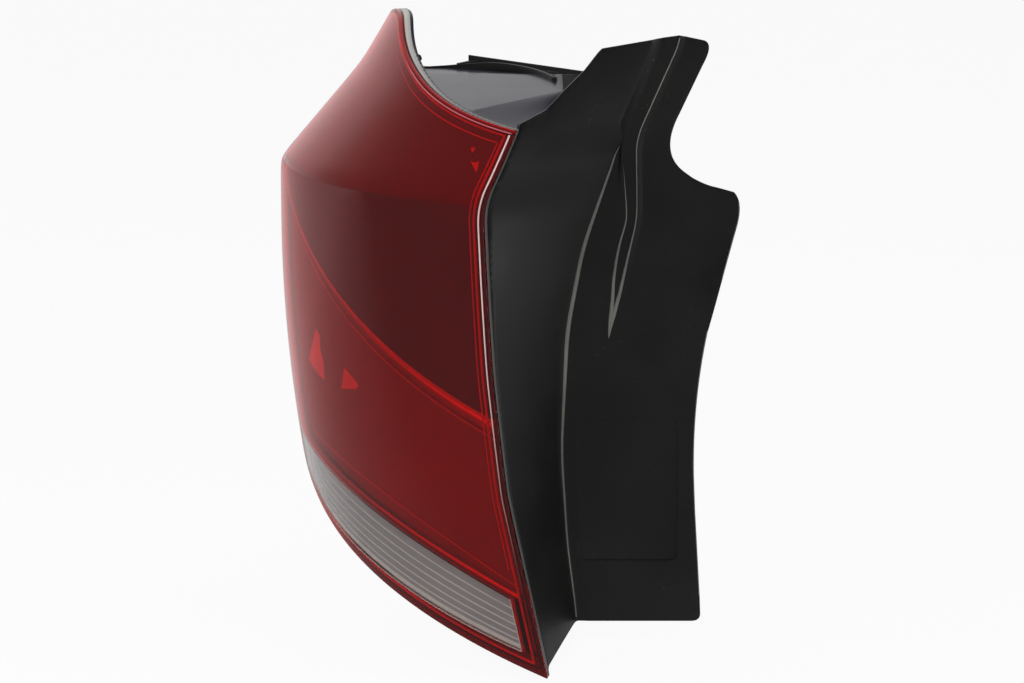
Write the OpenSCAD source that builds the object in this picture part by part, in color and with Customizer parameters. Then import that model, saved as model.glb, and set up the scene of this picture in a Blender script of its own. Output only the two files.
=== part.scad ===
// Right-hand rear combination lamp of a car.
// X points forward, Y inboard and Z up.
// The origin is the seat of the upper stud on the back of the housing.

/* [Lens] */
// Radius of the lens seen from above
lens_r = 204; // [200:1:208]
// Thickness of the lens
lens_wall = 3; // [2:0.5:4]
// Height of the lowest tip of the lens above its own base line
lens_low = 1; // [0:0.5:3]
// Rise of the lower edge from the side to its inboard end
lens_low_rise = 95.6; // [90:0.2:96]
// Height of the upper edge at the side
lens_top = 322.5; // [316:0.5:328]
// Rise of the upper edge towards the tip
lens_top_rise = 80.7; // [76:0.1:86]
// Height of the tip
tip_z = 382.5; // [376:0.5:388]
// Inboard edge of the lens
inboard_y = 165; // [162:1:168]
// Reach of the rear face behind the lens axis
rear_reach = 205; // [202:0.5:208]
// Height at which the upper part starts to lean forward
shoulder_z = 287; // [283:1:290]
// Forward lean of the rear face above the shoulder
shoulder_lean = 40.8; // [37:0.1:43]
// Height at which the rear face steepens again below the tip
brow_z = 348; // [340:1:356]
// Forward lean of the rear face near the tip
brow_lean = 30.5; // [26:0.1:35]
// Inboard lean of the side above the shoulder
side_lean = 19.3; // [14:0.1:22]
// Inboard lean of the side below the shoulder
side_tilt = 2.3; // [1:0.1:3]
// Height of the fullest point of the rear face
waist_z = 245; // [235:1:255]
// Forward bow of the rear face 150 mm below the waist
rear_bow = 12.2; // [8:0.2:14]

/* [Clear strip] */
// Height of the strip above the lens base line at its outboard end
strip_low = 11.5; // [10:0.5:14]
// Rise of the strip towards its inboard end
strip_rise = 77; // [74:1:79]
// Height of the clear strip
strip_h = 30; // [26:1:32]
// Upward swell of the upper edge of the strip at its middle
strip_swell = 9; // [6:0.5:10]
// Least width of the red border below the strip
strip_border = 3.5; // [3:0.5:5]
// Depth of the ribs inside the strip
strip_rib = 1.2; // [0.6:0.1:1.6]
// Number of ribs inside the strip
strip_ribs = 7; // [5:1:8]

/* [Weld frame] */
// Height of the pale frame behind the edge of the lens
frame_h = 3.6; // [2.6:0.2:5]
// Width of the pale frame
frame_w = 3; // [2.4:0.2:4]

/* [Housing] */
// Wall thickness of the housing
wall = 2.6; // [2.2:0.1:3]
// Forward face of the back plate
plate_x = 6; // [2:1:12]
// Outboard edge of the back plate
plate_out_y = 84; // [82:1:85]
// Inboard edge of the back plate
plate_in_y = 146; // [142:1:150]
// Lower edge of the back plate at its outboard corner
plate_low = 42; // [38:1:44]
// Height of the roof above the lens base line, 20 mm inboard of the side
roof_z = 326; // [322:1:330]
// Inboard rise of the roof
roof_slope = 8; // [5:0.5:9]
// Corner radius of the back plate
plate_r = 12; // [8:1:16]

/* [Shroud] */
// Outboard face of the shroud wing
wing_y = 72; // [70:0.5:74]
// Height of the two ridges over the wing
ridge_h = 2; // [1:0.2:3]
// Width of the label recess
label_w = 60; // [50:1:64]
// Height of the label recess
label_h = 90; // [70:1:94]
// Depth of the label recess
label_d = 0.5; // [0.3:0.1:1]
// Corner radius of the label recess
label_r = 5; // [2:0.5:8]

/* [Arc trim] */
// Height of the bright trim at the side
arc_low = 147.5; // [144:0.5:150]
// Height of the bright trim between the dark panel and the lower chamber
trim_h = 9; // [7:0.5:11]
// Depth of the bright trim
trim_d = 5; // [3:0.5:6]

/* [Reflectors] */
// Wall thickness of the reflectors and the dark panel
reflector_t = 1.8; // [1.4:0.2:2.2]
// Radius of the bulb openings of the reflectors
bulb_hole_r = 16; // [14.5:0.5:17]

/* [Bulb holder] */
// Width of the bulb holder
holder_w = 40; // [38:1:41]
// Thickness of the bulb holder
holder_t = 3; // [2.4:0.2:4]
// Radius of the brass caps of the bulbs
cap_r = 7.5; // [7:0.1:7.6]
// Largest radius of their glass
glass_r = 12.5; // [11:0.5:13]
// Height of the turn bulb, behind the clear strip
turn_z = 94; // [93:1:98]
// Height of the stop bulb, in the lower chamber
stop_z = 172; // [166:1:176]

/* [Fixings] */
// Height of the upper stud
upper_stud_z = 308; // [306:1:311]
// Height of the lower stud
lower_stud_z = 62; // [61:1:64]
// Distance of the studs inboard of the lens side
stud_y = 114; // [113:1:115]
// Radius of the stud thread
stud_r = 3; // [2.5:0.5:4]
// Free length of the studs
stud_l = 22; // [16:1:30]
// Thickness of the foam gasket
gasket_t = 7; // [5:0.5:10]
// Width of the foam gasket
gasket_w = 6; // [5:0.5:7]
// Running clearance between pieces that are not joined
gap = 0.2; // [0.15:0.05:0.3]

/* [Hidden] */

// Colours
black = [0.07, 0.07, 0.07];
dark_red = [0.55, 0.04, 0.06];
bright_red = [0.8, 0.1, 0.1];
pale = [0.85, 0.85, 0.83];
mirror_grey = [0.8, 0.8, 0.82];
brass = [0.8, 0.65, 0.3];

// Plan centre of the lens curve, which keeps the side of the lens in its place
centre = [32, lens_r - 13];
// How gently the shoulder, the brow and the tip are rounded
shoulder_soft = 3.5;
brow_soft = 6;
tip_soft = 8;
// Length of the lens measured round its curve
lens_run = 235;
// Angle of the lens edge at the side, at a few heights
seam_turns = [[0, 11.9], [48, 14.6], [108, 17.9], [180, 19.7], [275, 21.1], [292, 19.8], [323, 18.1]];
// Columns and rows of the lens grid
lens_cols = 20;
border_rows = 3;
window_rows = 2 * strip_ribs;
panel_rows = 24;
// Ends of the strip as shares of the way round the lens
strip_start = 0.055;
strip_end = 0.93;
// Facets along each side of the lens edge
low_n = 10;
high_n = 12;
end_n = 24;
// Depths behind the face of the lens
frame_depth = lens_wall + 0.3;
rim_depth = frame_depth + frame_h + 0.1;
mouth_inset = frame_w;
step_in = 1.2;
panel_depth = lens_wall + 1;
trim_bow = 1.6;
bowl_depth = rim_depth + 1;
// Bulb axis and rear end of the sockets
socket_r = cap_r + gap + 2;
socket_l = 20;
hole_x = plate_x - wall - 22;
seat_z = upper_stud_z;
fine = 48;
coarse = 16;

function mix(a, b, t) = a + (b - a) * t;
function soft(t, w) = (t + sqrt(t * t + w * w)) / 2;
function ease(t) = let (c = min(max(t, 0), 1)) c * c * (3 - 2 * c);
function bend(a, b, c, n) = [for (i = [0 : n]) let (t = i / n) mix(mix(a, b, t), mix(b, c, t), t)];
function reversed(list) = [for (i = [len(list) - 1 : -1 : 0]) list[i]];

// Lens surface: a plan ellipse at each height, leaning in above the shoulder
function bow(z) = rear_bow * pow(min(z - waist_z, 0) / 150, 2);
function rear_lean(z) =
    tan(shoulder_lean) * soft(z - shoulder_z, shoulder_soft)
    - (tan(shoulder_lean) - tan(brow_lean)) * soft(z - brow_z, brow_soft);
function reach_back(z) = rear_reach - bow(z) - rear_lean(z);
function reach_side(z) = lens_r - tan(side_tilt) * z - tan(side_lean) * soft(z - shoulder_z, brow_soft);
function on_lens(turn, z, depth) = [
    centre.x - (reach_back(z) - depth) * sin(turn),
    centre.y - (reach_side(z) - depth) * cos(turn),
    z
];
function seam_turn(z) = lookup(z, seam_turns);
function end_turn(z) = acos((centre.y - inboard_y) / reach_side(z));
function face(u, z, depth) = on_lens(mix(seam_turn(z), end_turn(z), u), z, depth);

// Heights of the edges of the lens and of the strip at share u of the way round
function low_edge(u) = lens_low + lens_low_rise * (0.85 * u + 0.15 * pow(u, 5));
function high_line(u) = lens_top + lens_top_rise * (0.43 * u + 0.57 * u * u);
function tip_corner(u) = 3 * pow(max(u - 0.9, 0) / 0.1, 2);
function high_edge(u) = tip_z - soft(tip_z - high_line(u), tip_soft) - tip_corner(u);
function strip_bottom(u) = max(strip_low + strip_rise * u, low_edge(u) + strip_border);
function strip_top(u) = strip_low + strip_h + strip_rise * u + strip_swell * 4 * u * (1 - u);
function arc_line(u) = arc_low + 100 * u + 40 * u * u;

function level(u, t) =
    t < 1 ? mix(low_edge(u), strip_bottom(u), t)
    : t < 2 ? mix(strip_bottom(u), strip_top(u), t - 1)
    : mix(strip_top(u), high_edge(u), t - 2);

function roof(y) = roof_z + tan(roof_slope) * (y - 20);
function plate_bottom(y) = plate_low + 0.08 * (y - plate_out_y);

// Closed solids from rings of points
function quad(a, b, c, d) = [[a, b, c], [a, c, d]];
function ring_faces(n, k, m) = [
    for (i = [0 : n - 1]) each quad(k * n + i, m * n + i, m * n + (i + 1) % n, k * n + (i + 1) % n)
];
function strip_cap(n, first) = [
    for (i = [0 : n / 2 - 2]) each quad(first + i, first + i + 1, first + n - 2 - i, first + n - 1 - i)
];
function fan_cap(n, first) = [for (i = [1 : n - 2]) [first, first + i, first + i + 1]];
function flipped(faces) = [for (f = faces) reversed(f)];

module loft(rings, cap) {
    n = len(rings[0]);
    last = len(rings) - 1;
    sides = [for (k = [0 : last - 1]) each ring_faces(n, k, k + 1)];
    ends = cap == "loop" ? ring_faces(n, last, 0)
        : cap == "strip" ? concat(strip_cap(n, 0), flipped(strip_cap(n, last * n)))
        : concat(fan_cap(n, 0), flipped(fan_cap(n, last * n)));
    polyhedron(points = [for (r = rings) each r], faces = concat(sides, ends), convexity = 8);
}

// Places the model so that the seat of the upper stud is the origin
module in_frame() {
    translate([-plate_x, -stud_y, -seat_z]) children();
}

// A cylinder whose axis runs forward from the given point
module forward(x, y, z, r, l, sides = fine) {
    translate([x, y, z]) rotate([0, 90, 0]) cylinder(r = r, h = l, $fn = sides);
}

// An outline in the YZ plane given forward thickness
module plate_slab(x, t) {
    translate([x, 0, 0]) rotate([90, 0, 90]) linear_extrude(t) children();
}

module rounded(w, h, r) {
    hull() for (a = [-1, 1], b = [-1, 1]) translate([a * (w / 2 - r), b * (h / 2 - r)]) circle(r, $fn = 24);
}

// Grid of the lens shell, with the cells of the strip left open
lens_us = concat([0], [for (i = [0 : lens_cols]) mix(strip_start, strip_end, i / lens_cols)], [1]);
lens_ts = concat(
    [for (j = [0 : border_rows - 1]) j / border_rows],
    [for (j = [0 : window_rows - 1]) 1 + j / window_rows],
    [for (j = [0 : panel_rows]) 2 + j / panel_rows]
);

function in_window(i, j) =
    i >= 1 && i <= lens_cols && j >= border_rows && j < border_rows + window_rows;
function in_lens(i, j) =
    i >= 0 && i <= lens_cols + 1 && j >= 0 && j < len(lens_ts) - 1 && !in_window(i, j);

module lens_red() {
    rows = len(lens_ts);
    count = len(lens_us) * rows;
    points = [
        for (d = [0, lens_wall], u = lens_us, t = lens_ts) face(u, level(u, t), d)
    ];
    cells = [
        for (i = [0 : lens_cols + 1], j = [0 : rows - 2]) if (in_lens(i, j)) [i, j]
    ];
    faces = [
        for (c = cells) let (a = c.x * rows + c.y, b = a + rows, d = count) each concat(
            quad(a, b, b + 1, a + 1),
            quad(a + d, a + d + 1, b + d + 1, b + d),
            in_lens(c.x - 1, c.y) ? [] : quad(a, a + 1, a + d + 1, a + d),
            in_lens(c.x + 1, c.y) ? [] : quad(b, b + d, b + d + 1, b + 1),
            in_lens(c.x, c.y - 1) ? [] : quad(a, a + d, b + d, b),
            in_lens(c.x, c.y + 1) ? [] : quad(a + 1, b + 1, b + d + 1, a + d + 1)
        )
    ];
    color(dark_red, 0.8) in_frame() polyhedron(points, faces, convexity = 8);
}

// Clear strip with ribs along its inner face
module lens_strip() {
    steps = window_rows;
    us = [for (i = [1 : lens_cols + 1]) lens_us[i]];
    rings = [
        for (u = us) concat(
            [for (j = [0 : steps]) face(u, level(u, 1 + j / steps), 0)],
            [for (j = [steps : -1 : 0]) face(u, level(u, 1 + j / steps), lens_wall + (j % 2) * strip_rib)]
        )
    ];
    color(pale, 0.7) in_frame() loft(rings, "strip");
}

// Loops that follow the edge of the lens, listed once round
edge_shares = concat(
    [for (i = [0 : low_n - 1]) [i / low_n, 0]],
    [for (i = [0 : end_n - 1]) [1, i / end_n]],
    [for (i = [0 : high_n - 1]) [1 - i / high_n, 1]],
    [for (i = [0 : end_n - 1]) [0, 1 - i / end_n]]
);

function edge_point(e, depth, inset) =
    let (u = mix(inset / lens_run, 1 - inset / lens_run, e.x))
    face(u, mix(low_edge(u) + inset, high_edge(u) - inset, e.y), depth);

function edge_loop(depth, inset) = [for (e = edge_shares) edge_point(e, depth, inset)];

// The same loop pulled down to the roof where the lens rises above it
function under_roof(depth, inset, drop) = [
    for (e = edge_shares)
        let (
            u = mix(inset / lens_run, 1 - inset / lens_run, e.x),
            p = edge_point(e, depth, inset),
            z = min(p.z, roof(p.y) - drop)
        ) face(u, z, depth)
];

// Rounded outline of the back plate, pulled in by inset
function plate_point(e, x, inset) =
    let (
        y = mix(plate_out_y + inset, plate_in_y - inset, e.x),
        low = plate_bottom(y) + inset,
        high = roof(y) - inset,
        z = mix(low, high, e.y),
        cy = min(max(y, plate_out_y + plate_r), plate_in_y - plate_r),
        cz = min(max(z, low - inset + plate_r), high + inset - plate_r),
        v = [y - cy, z - cz]
    ) [x, each (abs(v.x) > 0.01 && abs(v.y) > 0.01
        ? [cy, cz] + v / norm(v) * (plate_r - inset)
        : [y, z])];

function plate_loop(x, inset) = [for (e = edge_shares) plate_point(e, x, inset)];

module weld_frame() {
    rings = [
        edge_loop(frame_depth + frame_h, 0),
        edge_loop(frame_depth + frame_h, frame_w),
        edge_loop(frame_depth, frame_w),
        edge_loop(frame_depth, 0)
    ];
    color(pale) in_frame() loft(rings, "loop");
}

// Moulded box between the weld frame and the back plate
module box_shell() {
    back = rim_depth + wall;
    rings = [
        plate_loop(plate_x - wall, wall),
        under_roof(rim_depth + 0.4, mouth_inset, wall),
        edge_loop(rim_depth, mouth_inset),
        edge_loop(rim_depth, 0),
        edge_loop(back, step_in),
        under_roof(back + 0.4, step_in, 0),
        plate_loop(plate_x, 0)
    ];
    loft(rings, "fan");
}

// Places of the shroud's folds at a given height
crease_line = [[13, 15], [60, 8.8], [120, 5], [195, 8.5], [245, 18], [268, 26], [307, 40]];
function crease_x(z) = lookup(z, crease_line);
function fold_x(z) = lookup(z, [[195, 35.5], [241, 45], [263, 50], [311, 49], [370, 75]]);
function ridge_w(z) = mix(2, 9, ease((z - 195) / 60));
function raised(z) = ridge_h * ease((z - 195) / 55);

// One row of the shroud sheet: side wall, crease, leaf, ridges and wing.
// The face parameter is 0 on the outboard face and 1 on the inner one.
function shroud_row(z, inner) =
    let (
        s = face(step_in / lens_run, z, rim_depth + 1.1),
        start = [s.x, s.y],
        fold = [fold_x(z), wing_y - raised(z)],
        upper = ease((z - 300) / 22),
        corner = mix([crease_x(z), wing_y], mix(start, fold, 0.8), upper),
        along = (corner - start) / norm(corner - start),
        inward = [-along.y, along.x] * wall * inner,
        push = [0, wall * inner],
        level_y = mix(wing_y, corner.y, upper),
        reach = (level_y + push.y - start.y - inward.y) / along.y,
        knee = start + inward + along * reach,
        ridge = fold - [ridge_w(z), 0],
        fall = tan(5) * ease((z - 195) / 60)
    )
    [
        for (p = concat(
            [start + inward],
            bend(knee - along * 6, knee, mix(knee, ridge + push, 0.12), 3),
            [mix(knee, ridge + push, 0.5) + [0, raised(z) * 0.6], ridge + push, fold + push],
            [fold + push + [4, raised(z) + 4 * fall], [130, wing_y + push.y + (130 - fold.x) * fall]]
        )) [p.x, p.y, z]
    ];

// Outline of the shroud seen from outboard
shroud_outline = concat(
    [[-70, 3], [-7, 3.5], [15, 11], [23, 10.8]],
    bend([86, 10.8], [91.8, 10.8], [91.5, 16], 4),
    bend([91, 27], [89, 58], [87.4, 82], 3),
    bend([86.4, 104], [85, 150], [93.4, 193], 8),
    bend([110, 255], [114.6, 271.5], [108.5, 277.6], 5),
    bend([98, 280.6], [91, 282], [83, 286.8], 3),
    bend([80, 289], [62, 301], [75, 326], 8),
    bend([88, 354], [95, 367], [89, 368.9], 4),
    [[73.9, 372.2], [28, 365.8], [25.8, 363.8], [17.8, 354], [6, 343], [-5, 332], [-14.5, 327.5]],
    [[-25, 322.6], [-70, 322.6]]
);

module shroud() {
    rows = [for (z = [-4 : 12 : 392]) concat(shroud_row(z, 0), reversed(shroud_row(z, 1)))];
    label_at = [crease_x(95) + 10 + label_w / 2, 95];
    difference() {
        intersection() {
            loft(rows, "strip");
            translate([0, 140, 0]) rotate([90, 0, 0]) linear_extrude(180) polygon(shroud_outline);
        }
        translate([label_at.x, wing_y + label_d, label_at.y]) rotate([90, 0, 0])
            linear_extrude(5) rounded(label_w, label_h, label_r);
    }
}

// Gussets that tie the wing to the back plate
gusset_zs = [58, 106, 154, 202, 250, 294];

module gusset(z) {
    t = 2;
    far = crease_x(z) + 34;
    hull() {
        translate([plate_x - 4, plate_out_y - 1, z]) cube([4, 2.5, t]);
        translate([far, wing_y + wall - 0.6, z]) cube([2, 0.6 + 1, t]);
        translate([plate_x - 1.5, wing_y + wall - 0.6, z]) cube([2, 1, t]);
    }
}

// Double ledge with ribs along the inboard edge of the roof
ledge_inner = bend([-84, 152], [-22, 173], [2, 118], 9);
ledge_outer = [[-52, 168], [24, 152]];

function ledge_inner_z(p) = roof(p.y) + mix(0.2, 2.4, ease((p.x + 70) / 40));
function ledge_outer_z(x) = 350.8 - 0.12 * (x + 52);

module ledge_post(p, low, high) {
    translate([p.x, p.y, low]) cylinder(r = 1.1, h = high - low, $fn = 6);
}

module ledge() {
    for (i = [0 : len(ledge_inner) - 2]) hull() {
        ledge_post(ledge_inner[i], roof(ledge_inner[i].y) - 8, ledge_inner_z(ledge_inner[i]));
        ledge_post(ledge_inner[i + 1], roof(ledge_inner[i + 1].y) - 8, ledge_inner_z(ledge_inner[i + 1]));
    }
    hull() {
        ledge_post(ledge_outer[0], 332, ledge_outer_z(ledge_outer[0].x));
        ledge_post(ledge_outer[1], 328, ledge_outer_z(ledge_outer[1].x));
    }
    for (i = [0 : 6]) {
        a = ledge_inner[2 + i];
        b = mix(ledge_outer[0], ledge_outer[1], (i + 0.5) / 7);
        hull() {
            ledge_post(a, roof(a.y) - 10, roof(a.y) + 1.4);
            ledge_post(b, 334, ledge_outer_z(b.x) - 2);
        }
    }
}

// Opening for the bulb holder in the back plate
holder_seat = plate_x + 1.2;
holder_face = holder_seat + holder_t;
hole_w = holder_w - 10;
connector_z = stop_z + 32;
hole_low = turn_z - 17;
hole_high = connector_z + 14;
hole_mid = (hole_low + hole_high) / 2;
hole_h = hole_high - hole_low;
holder_h = hole_h + 22;
screw_places = [for (a = [-1, 1], b = [-1, 1]) [stud_y + a * 11, hole_mid + b * (hole_h / 2 + 6)]];

module stud_boss(z) {
    forward(plate_x - wall - 9, stud_y, z, 8, 9 + wall / 2, coarse);
}

module housing() {
    color(black) in_frame() difference() {
        union() {
            box_shell();
            shroud();
            for (z = gusset_zs) gusset(z);
            ledge();
            stud_boss(upper_stud_z);
            stud_boss(lower_stud_z);
            for (p = screw_places) forward(plate_x - wall - 8, p.x, p.y, 3.4, 8 + wall / 2, coarse);
            forward(plate_x - 1, stud_y + 13, lower_stud_z, 3, 15, coarse);
        }
        plate_slab(plate_x - wall - 2, wall + 4) translate([stud_y, hole_mid]) rounded(hole_w, hole_h, 6);
        for (z = [upper_stud_z, lower_stud_z]) forward(plate_x - wall - 5, stud_y, z, 4.1, 20, coarse);
        for (p = screw_places) forward(plate_x - wall - 6, p.x, p.y, 1.45, 20, coarse);
    }
}

// Reflector: a bowl from a rim along the lens to a round bulb opening
bowl_n = 12;
bowl_shares = concat(
    [for (i = [0 : bowl_n - 1]) [i / bowl_n, 0]],
    [for (i = [0 : bowl_n - 1]) [1, i / bowl_n]],
    [for (i = [0 : bowl_n - 1]) [1 - i / bowl_n, 1]],
    [for (i = [0 : bowl_n - 1]) [0, 1 - i / bowl_n]]
);

function bowl_rim(ends, low, high, inset) = [
    for (e = bowl_shares)
        let (
            u = mix(ends[0] + inset / lens_run, ends[1] - inset / lens_run, e.x)
        ) face(u, mix(low(u) + inset, high(u) - inset, e.y), bowl_depth)
];

function bowl_ring(x, z, r) = [
    for (i = [0 : 4 * bowl_n - 1])
        let (a = -135 + 360 * i / (4 * bowl_n)) [x, stud_y + r * cos(a), z + r * sin(a)]
];

function bowl_between(rim, ring, t) = [
    for (i = [0 : len(rim) - 1])
        let (
            a = rim[i], b = ring[i],
            ctrl = [mix(a.x, b.x, 0.75), mix(a.y, b.y, 0.45), mix(a.z, b.z, 0.4)]
        ) mix(mix(a, ctrl, t), mix(ctrl, b, t), t)
];

module bowl(ends, low, high, z, r) {
    outer_rim = bowl_rim(ends, low, high, 0);
    inner_rim = bowl_rim(ends, low, high, reflector_t);
    outer_ring = bowl_ring(hole_x, z, r + reflector_t);
    inner_ring = bowl_ring(hole_x, z, r);
    loft(concat(
        [for (k = [0 : 4]) bowl_between(outer_rim, outer_ring, k / 4)],
        [bowl_ring(hole_x + 4, z, r + reflector_t), bowl_ring(hole_x + 4, z, r)],
        [for (k = [4 : -1 : 0]) bowl_between(inner_rim, inner_ring, k / 4)]
    ), "loop");
}

rim_gap = 0.8;
chamber_ends = [(mouth_inset + 3 * rim_gap) / lens_run, 1 - (mouth_inset + rim_gap) / lens_run];
panel_ends = [(mouth_inset + 2 * rim_gap) / lens_run, 1 - (mouth_inset + 2 * rim_gap) / lens_run];
seat_gap = 0.3;
divider = 0.6;
panel_cols = 18;
panel_steps = 20;

// Dark panel close behind the upper part of the lens
module dark_bezel() {
    rings = [
        for (i = [0 : panel_cols])
            let (
                u = mix(panel_ends[0], panel_ends[1], i / panel_cols),
                low = arc_line(u) + trim_h / 2 + seat_gap,
                high = high_edge(u) - mouth_inset - rim_gap
            ) concat(
                [for (j = [0 : panel_steps]) face(u, mix(low, high, j / panel_steps), panel_depth)],
                [for (j = [panel_steps : -1 : 0])
                    face(u, mix(low, high, j / panel_steps), panel_depth + reflector_t)]
            )
    ];
    color([0.16, 0.1, 0.1]) in_frame() loft(rings, "strip");
}

module stop_reflector() {
    color(mirror_grey) in_frame()
        bowl(chamber_ends, function(u) strip_top(u) + 3 + divider,
            function(u) arc_line(u) - trim_h / 2 - 4 * divider, stop_z, bulb_hole_r);
}

module strip_reflector() {
    color(mirror_grey) in_frame()
        bowl(chamber_ends, function(u) low_edge(u) + mouth_inset + rim_gap,
            function(u) strip_top(u) + 3 - divider, turn_z, bulb_hole_r);
}

// Bright trim along the lower edge of the dark panel, with a crowned face
module arc_trim() {
    rings = [
        for (i = [0 : panel_cols])
            let (u = mix(panel_ends[0], panel_ends[1], i / panel_cols), z = arc_line(u), h = trim_h / 2)
            [
                face(u, z - h, panel_depth + trim_bow),
                face(u, z, panel_depth),
                face(u, z + h, panel_depth + trim_bow),
                face(u, z + h, panel_depth + trim_d),
                face(u, z, panel_depth + trim_d - trim_bow),
                face(u, z - h, panel_depth + trim_d)
            ]
    ];
    color(bright_red) in_frame() loft(rings, "strip");
}

// Bulb holder with sockets and an open connector
connector_w = 26;
connector_h = 14;
connector_l = 16;
pin_count = 5;
pin_pitch = 4.4;
vent_at = [stud_y, (turn_z + stop_z) / 2];
vent_r = 3.6;
vent_x = holder_face;

module socket_tube(z, r) {
    forward(plate_x - socket_l, stud_y, z, r, socket_l + 2);
}

module bulb_holder() {
    color([0.75, 0.74, 0.7]) in_frame() difference() {
        union() {
            plate_slab(holder_seat, holder_t) translate([stud_y, hole_mid]) rounded(holder_w, holder_h, 8);
            for (z = [stop_z, turn_z]) socket_tube(z, socket_r);
            plate_slab(holder_face, connector_l) translate([stud_y, connector_z])
                square([connector_w, connector_h], center = true);
            forward(holder_seat, vent_at.x, vent_at.y, vent_r, holder_t + 6);
        }
        for (z = [stop_z, turn_z]) forward(plate_x - socket_l - 1, stud_y, z, cap_r + gap, socket_l);
        plate_slab(holder_face + 2, connector_l) translate([stud_y, connector_z])
            square([connector_w - 3, connector_h - 3], center = true);
        for (i = [0 : pin_count - 1])
            forward(holder_seat - 1, stud_y + (i - 2) * pin_pitch, connector_z, 0.8, holder_t + 6);
        for (p = screw_places) forward(holder_seat - 1, p.x, p.y, 1.8, holder_t + 2);
        forward(holder_seat - 1, vent_at.x, vent_at.y, 2, holder_t + 8);
    }
}

module holder_gasket() {
    color([0.1, 0.1, 0.11]) in_frame() plate_slab(plate_x + 0.05, 1.1) translate([stud_y, hole_mid])
        difference() {
            rounded(holder_w, holder_h, 8);
            rounded(hole_w + 1, hole_h + 1, 6.5);
            for (p = screw_places) translate([p.x - stud_y, p.y - hole_mid]) circle(1.8, $fn = fine);
        }
}

module holder_screws() {
    color([0.7, 0.7, 0.72]) in_frame() for (p = screw_places) {
        difference() {
            union() {
                forward(holder_face + 0.05, p.x, p.y, 3, 2);
                forward(plate_x - wall - 5, p.x, p.y, 1.4, holder_face - plate_x + wall + 6);
            }
            translate([holder_face + 1.2, p.x, p.y]) cube([3, 4, 0.8], center = true);
            translate([holder_face + 1.2, p.x, p.y]) cube([3, 0.8, 4], center = true);
        }
    }
}

// Tracks on the holder: sideways place, lower end and upper end
track_w = 3;
track_t = 0.6;
tracks = [
    [-12, turn_z - 6, connector_z - 8],
    [9, stop_z - 6, connector_z - 8],
    [9, turn_z - 6, stop_z - 10]
];

module contact_tracks() {
    color(brass) in_frame() for (t = tracks)
        plate_slab(holder_face + 0.05, track_t) translate([stud_y + t[0], t[1]])
            square([track_w, t[2] - t[1]]);
}

module connector_pins() {
    color(brass) in_frame() for (i = [0 : pin_count - 1])
        forward(holder_seat + 0.3, stud_y + (i - 2) * pin_pitch, connector_z, 0.7, holder_t + 11);
}

// Bayonet bulb: brass cap in the socket, glass in front of it
module bulb_cap(z) {
    in_frame() difference() {
        union() {
            forward(plate_x - socket_l - 3, stud_y, z, cap_r, 19.5);
            forward(plate_x - 3.6, stud_y, z, 3, 2.3);
            for (a = [-1, 1]) translate([plate_x - 9, stud_y, z]) rotate([a * 90, 0, 0])
                cylinder(r = 0.9, h = cap_r + 0.15, $fn = fine);
        }
        forward(plate_x - socket_l - 4, stud_y, z, cap_r - 1.5, 6);
    }
}

module bulb_glass(z) {
    base = plate_x - socket_l - 3;
    profile = concat(
        [[0, -4.5], [cap_r - 1.7, -4.5], [cap_r - 1.7, 1]],
        bend([cap_r - 0.6, 3], [glass_r, 8], [glass_r, 16], 5),
        bend([glass_r, 20], [glass_r, 30], [0, 32], 8)
    );
    in_frame() translate([base, stud_y, z]) rotate([0, -90, 0]) rotate_extrude($fn = fine) polygon(profile);
}

module stop_bulb_cap() {
    color(brass) bulb_cap(stop_z);
}

module stop_bulb_glass() {
    color([0.9, 0.9, 0.92], 0.6) bulb_glass(stop_z);
}

module turn_bulb_cap() {
    color(brass) bulb_cap(turn_z);
}

module turn_bulb_glass() {
    color([0.95, 0.6, 0.2], 0.7) bulb_glass(turn_z);
}

// Foam ring round the bulb holder
gasket_in_w = holder_w + 2;
gasket_mid_z = (upper_stud_z + lower_stud_z) / 2;
gasket_half_h = (upper_stud_z - lower_stud_z) / 2 + 10;

module body_gasket() {
    color([0.2, 0.2, 0.2]) in_frame() plate_slab(plate_x + 0.05, gasket_t) translate([stud_y, gasket_mid_z])
        difference() {
            rounded(gasket_in_w + 2 * gasket_w, 2 * gasket_half_h + gasket_w, 14);
            rounded(gasket_in_w, 2 * gasket_half_h - gasket_w, 9);
        }
}

module stud(z) {
    color([0.75, 0.75, 0.78]) in_frame() {
        forward(plate_x - wall - 4.9, stud_y, z, 4, wall + 4.9);
        forward(plate_x, stud_y, z, stud_r, stud_l);
    }
}

module upper_stud() {
    stud(upper_stud_z);
}

module lower_stud() {
    stud(lower_stud_z);
}

// Rubber buffer behind the tip of the lens, square to the band it sits on
buffer_u = 0.66;
buffer_z = 357;
buffer_depth = rim_depth + wall + 0.4;
buffer_at = face(buffer_u, buffer_z, buffer_depth);
buffer_round = face(buffer_u + 0.01, buffer_z, buffer_depth) - buffer_at;
buffer_up = face(buffer_u, buffer_z + 1, buffer_depth) - buffer_at;
buffer_out = cross(buffer_round, buffer_up) / norm(cross(buffer_round, buffer_up));

buffer_profile = [[0, 0], [3.2, 0], [3.2, 2], [2.4, 3], [2.4, 6], [1.4, 7.4], [0, 7.4]];

module tip_buffer() {
    color([0.03, 0.03, 0.03]) in_frame() translate(buffer_at + buffer_out * seat_gap)
        rotate([0, acos(buffer_out.z), atan2(buffer_out.y, buffer_out.x)])
        rotate_extrude($fn = fine) polygon(buffer_profile);
}

module vent_cap() {
    color([0.12, 0.12, 0.12]) in_frame() difference() {
        forward(vent_x + 0.4, vent_at.x, vent_at.y, vent_r + 2, 8);
        forward(vent_x - 1, vent_at.x, vent_at.y, vent_r + gap, 7.8);
    }
}

module vent_membrane() {
    color([0.95, 0.95, 0.95]) in_frame() forward(vent_x + 6.1, vent_at.x, vent_at.y, vent_r, 0.5);
}

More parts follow.
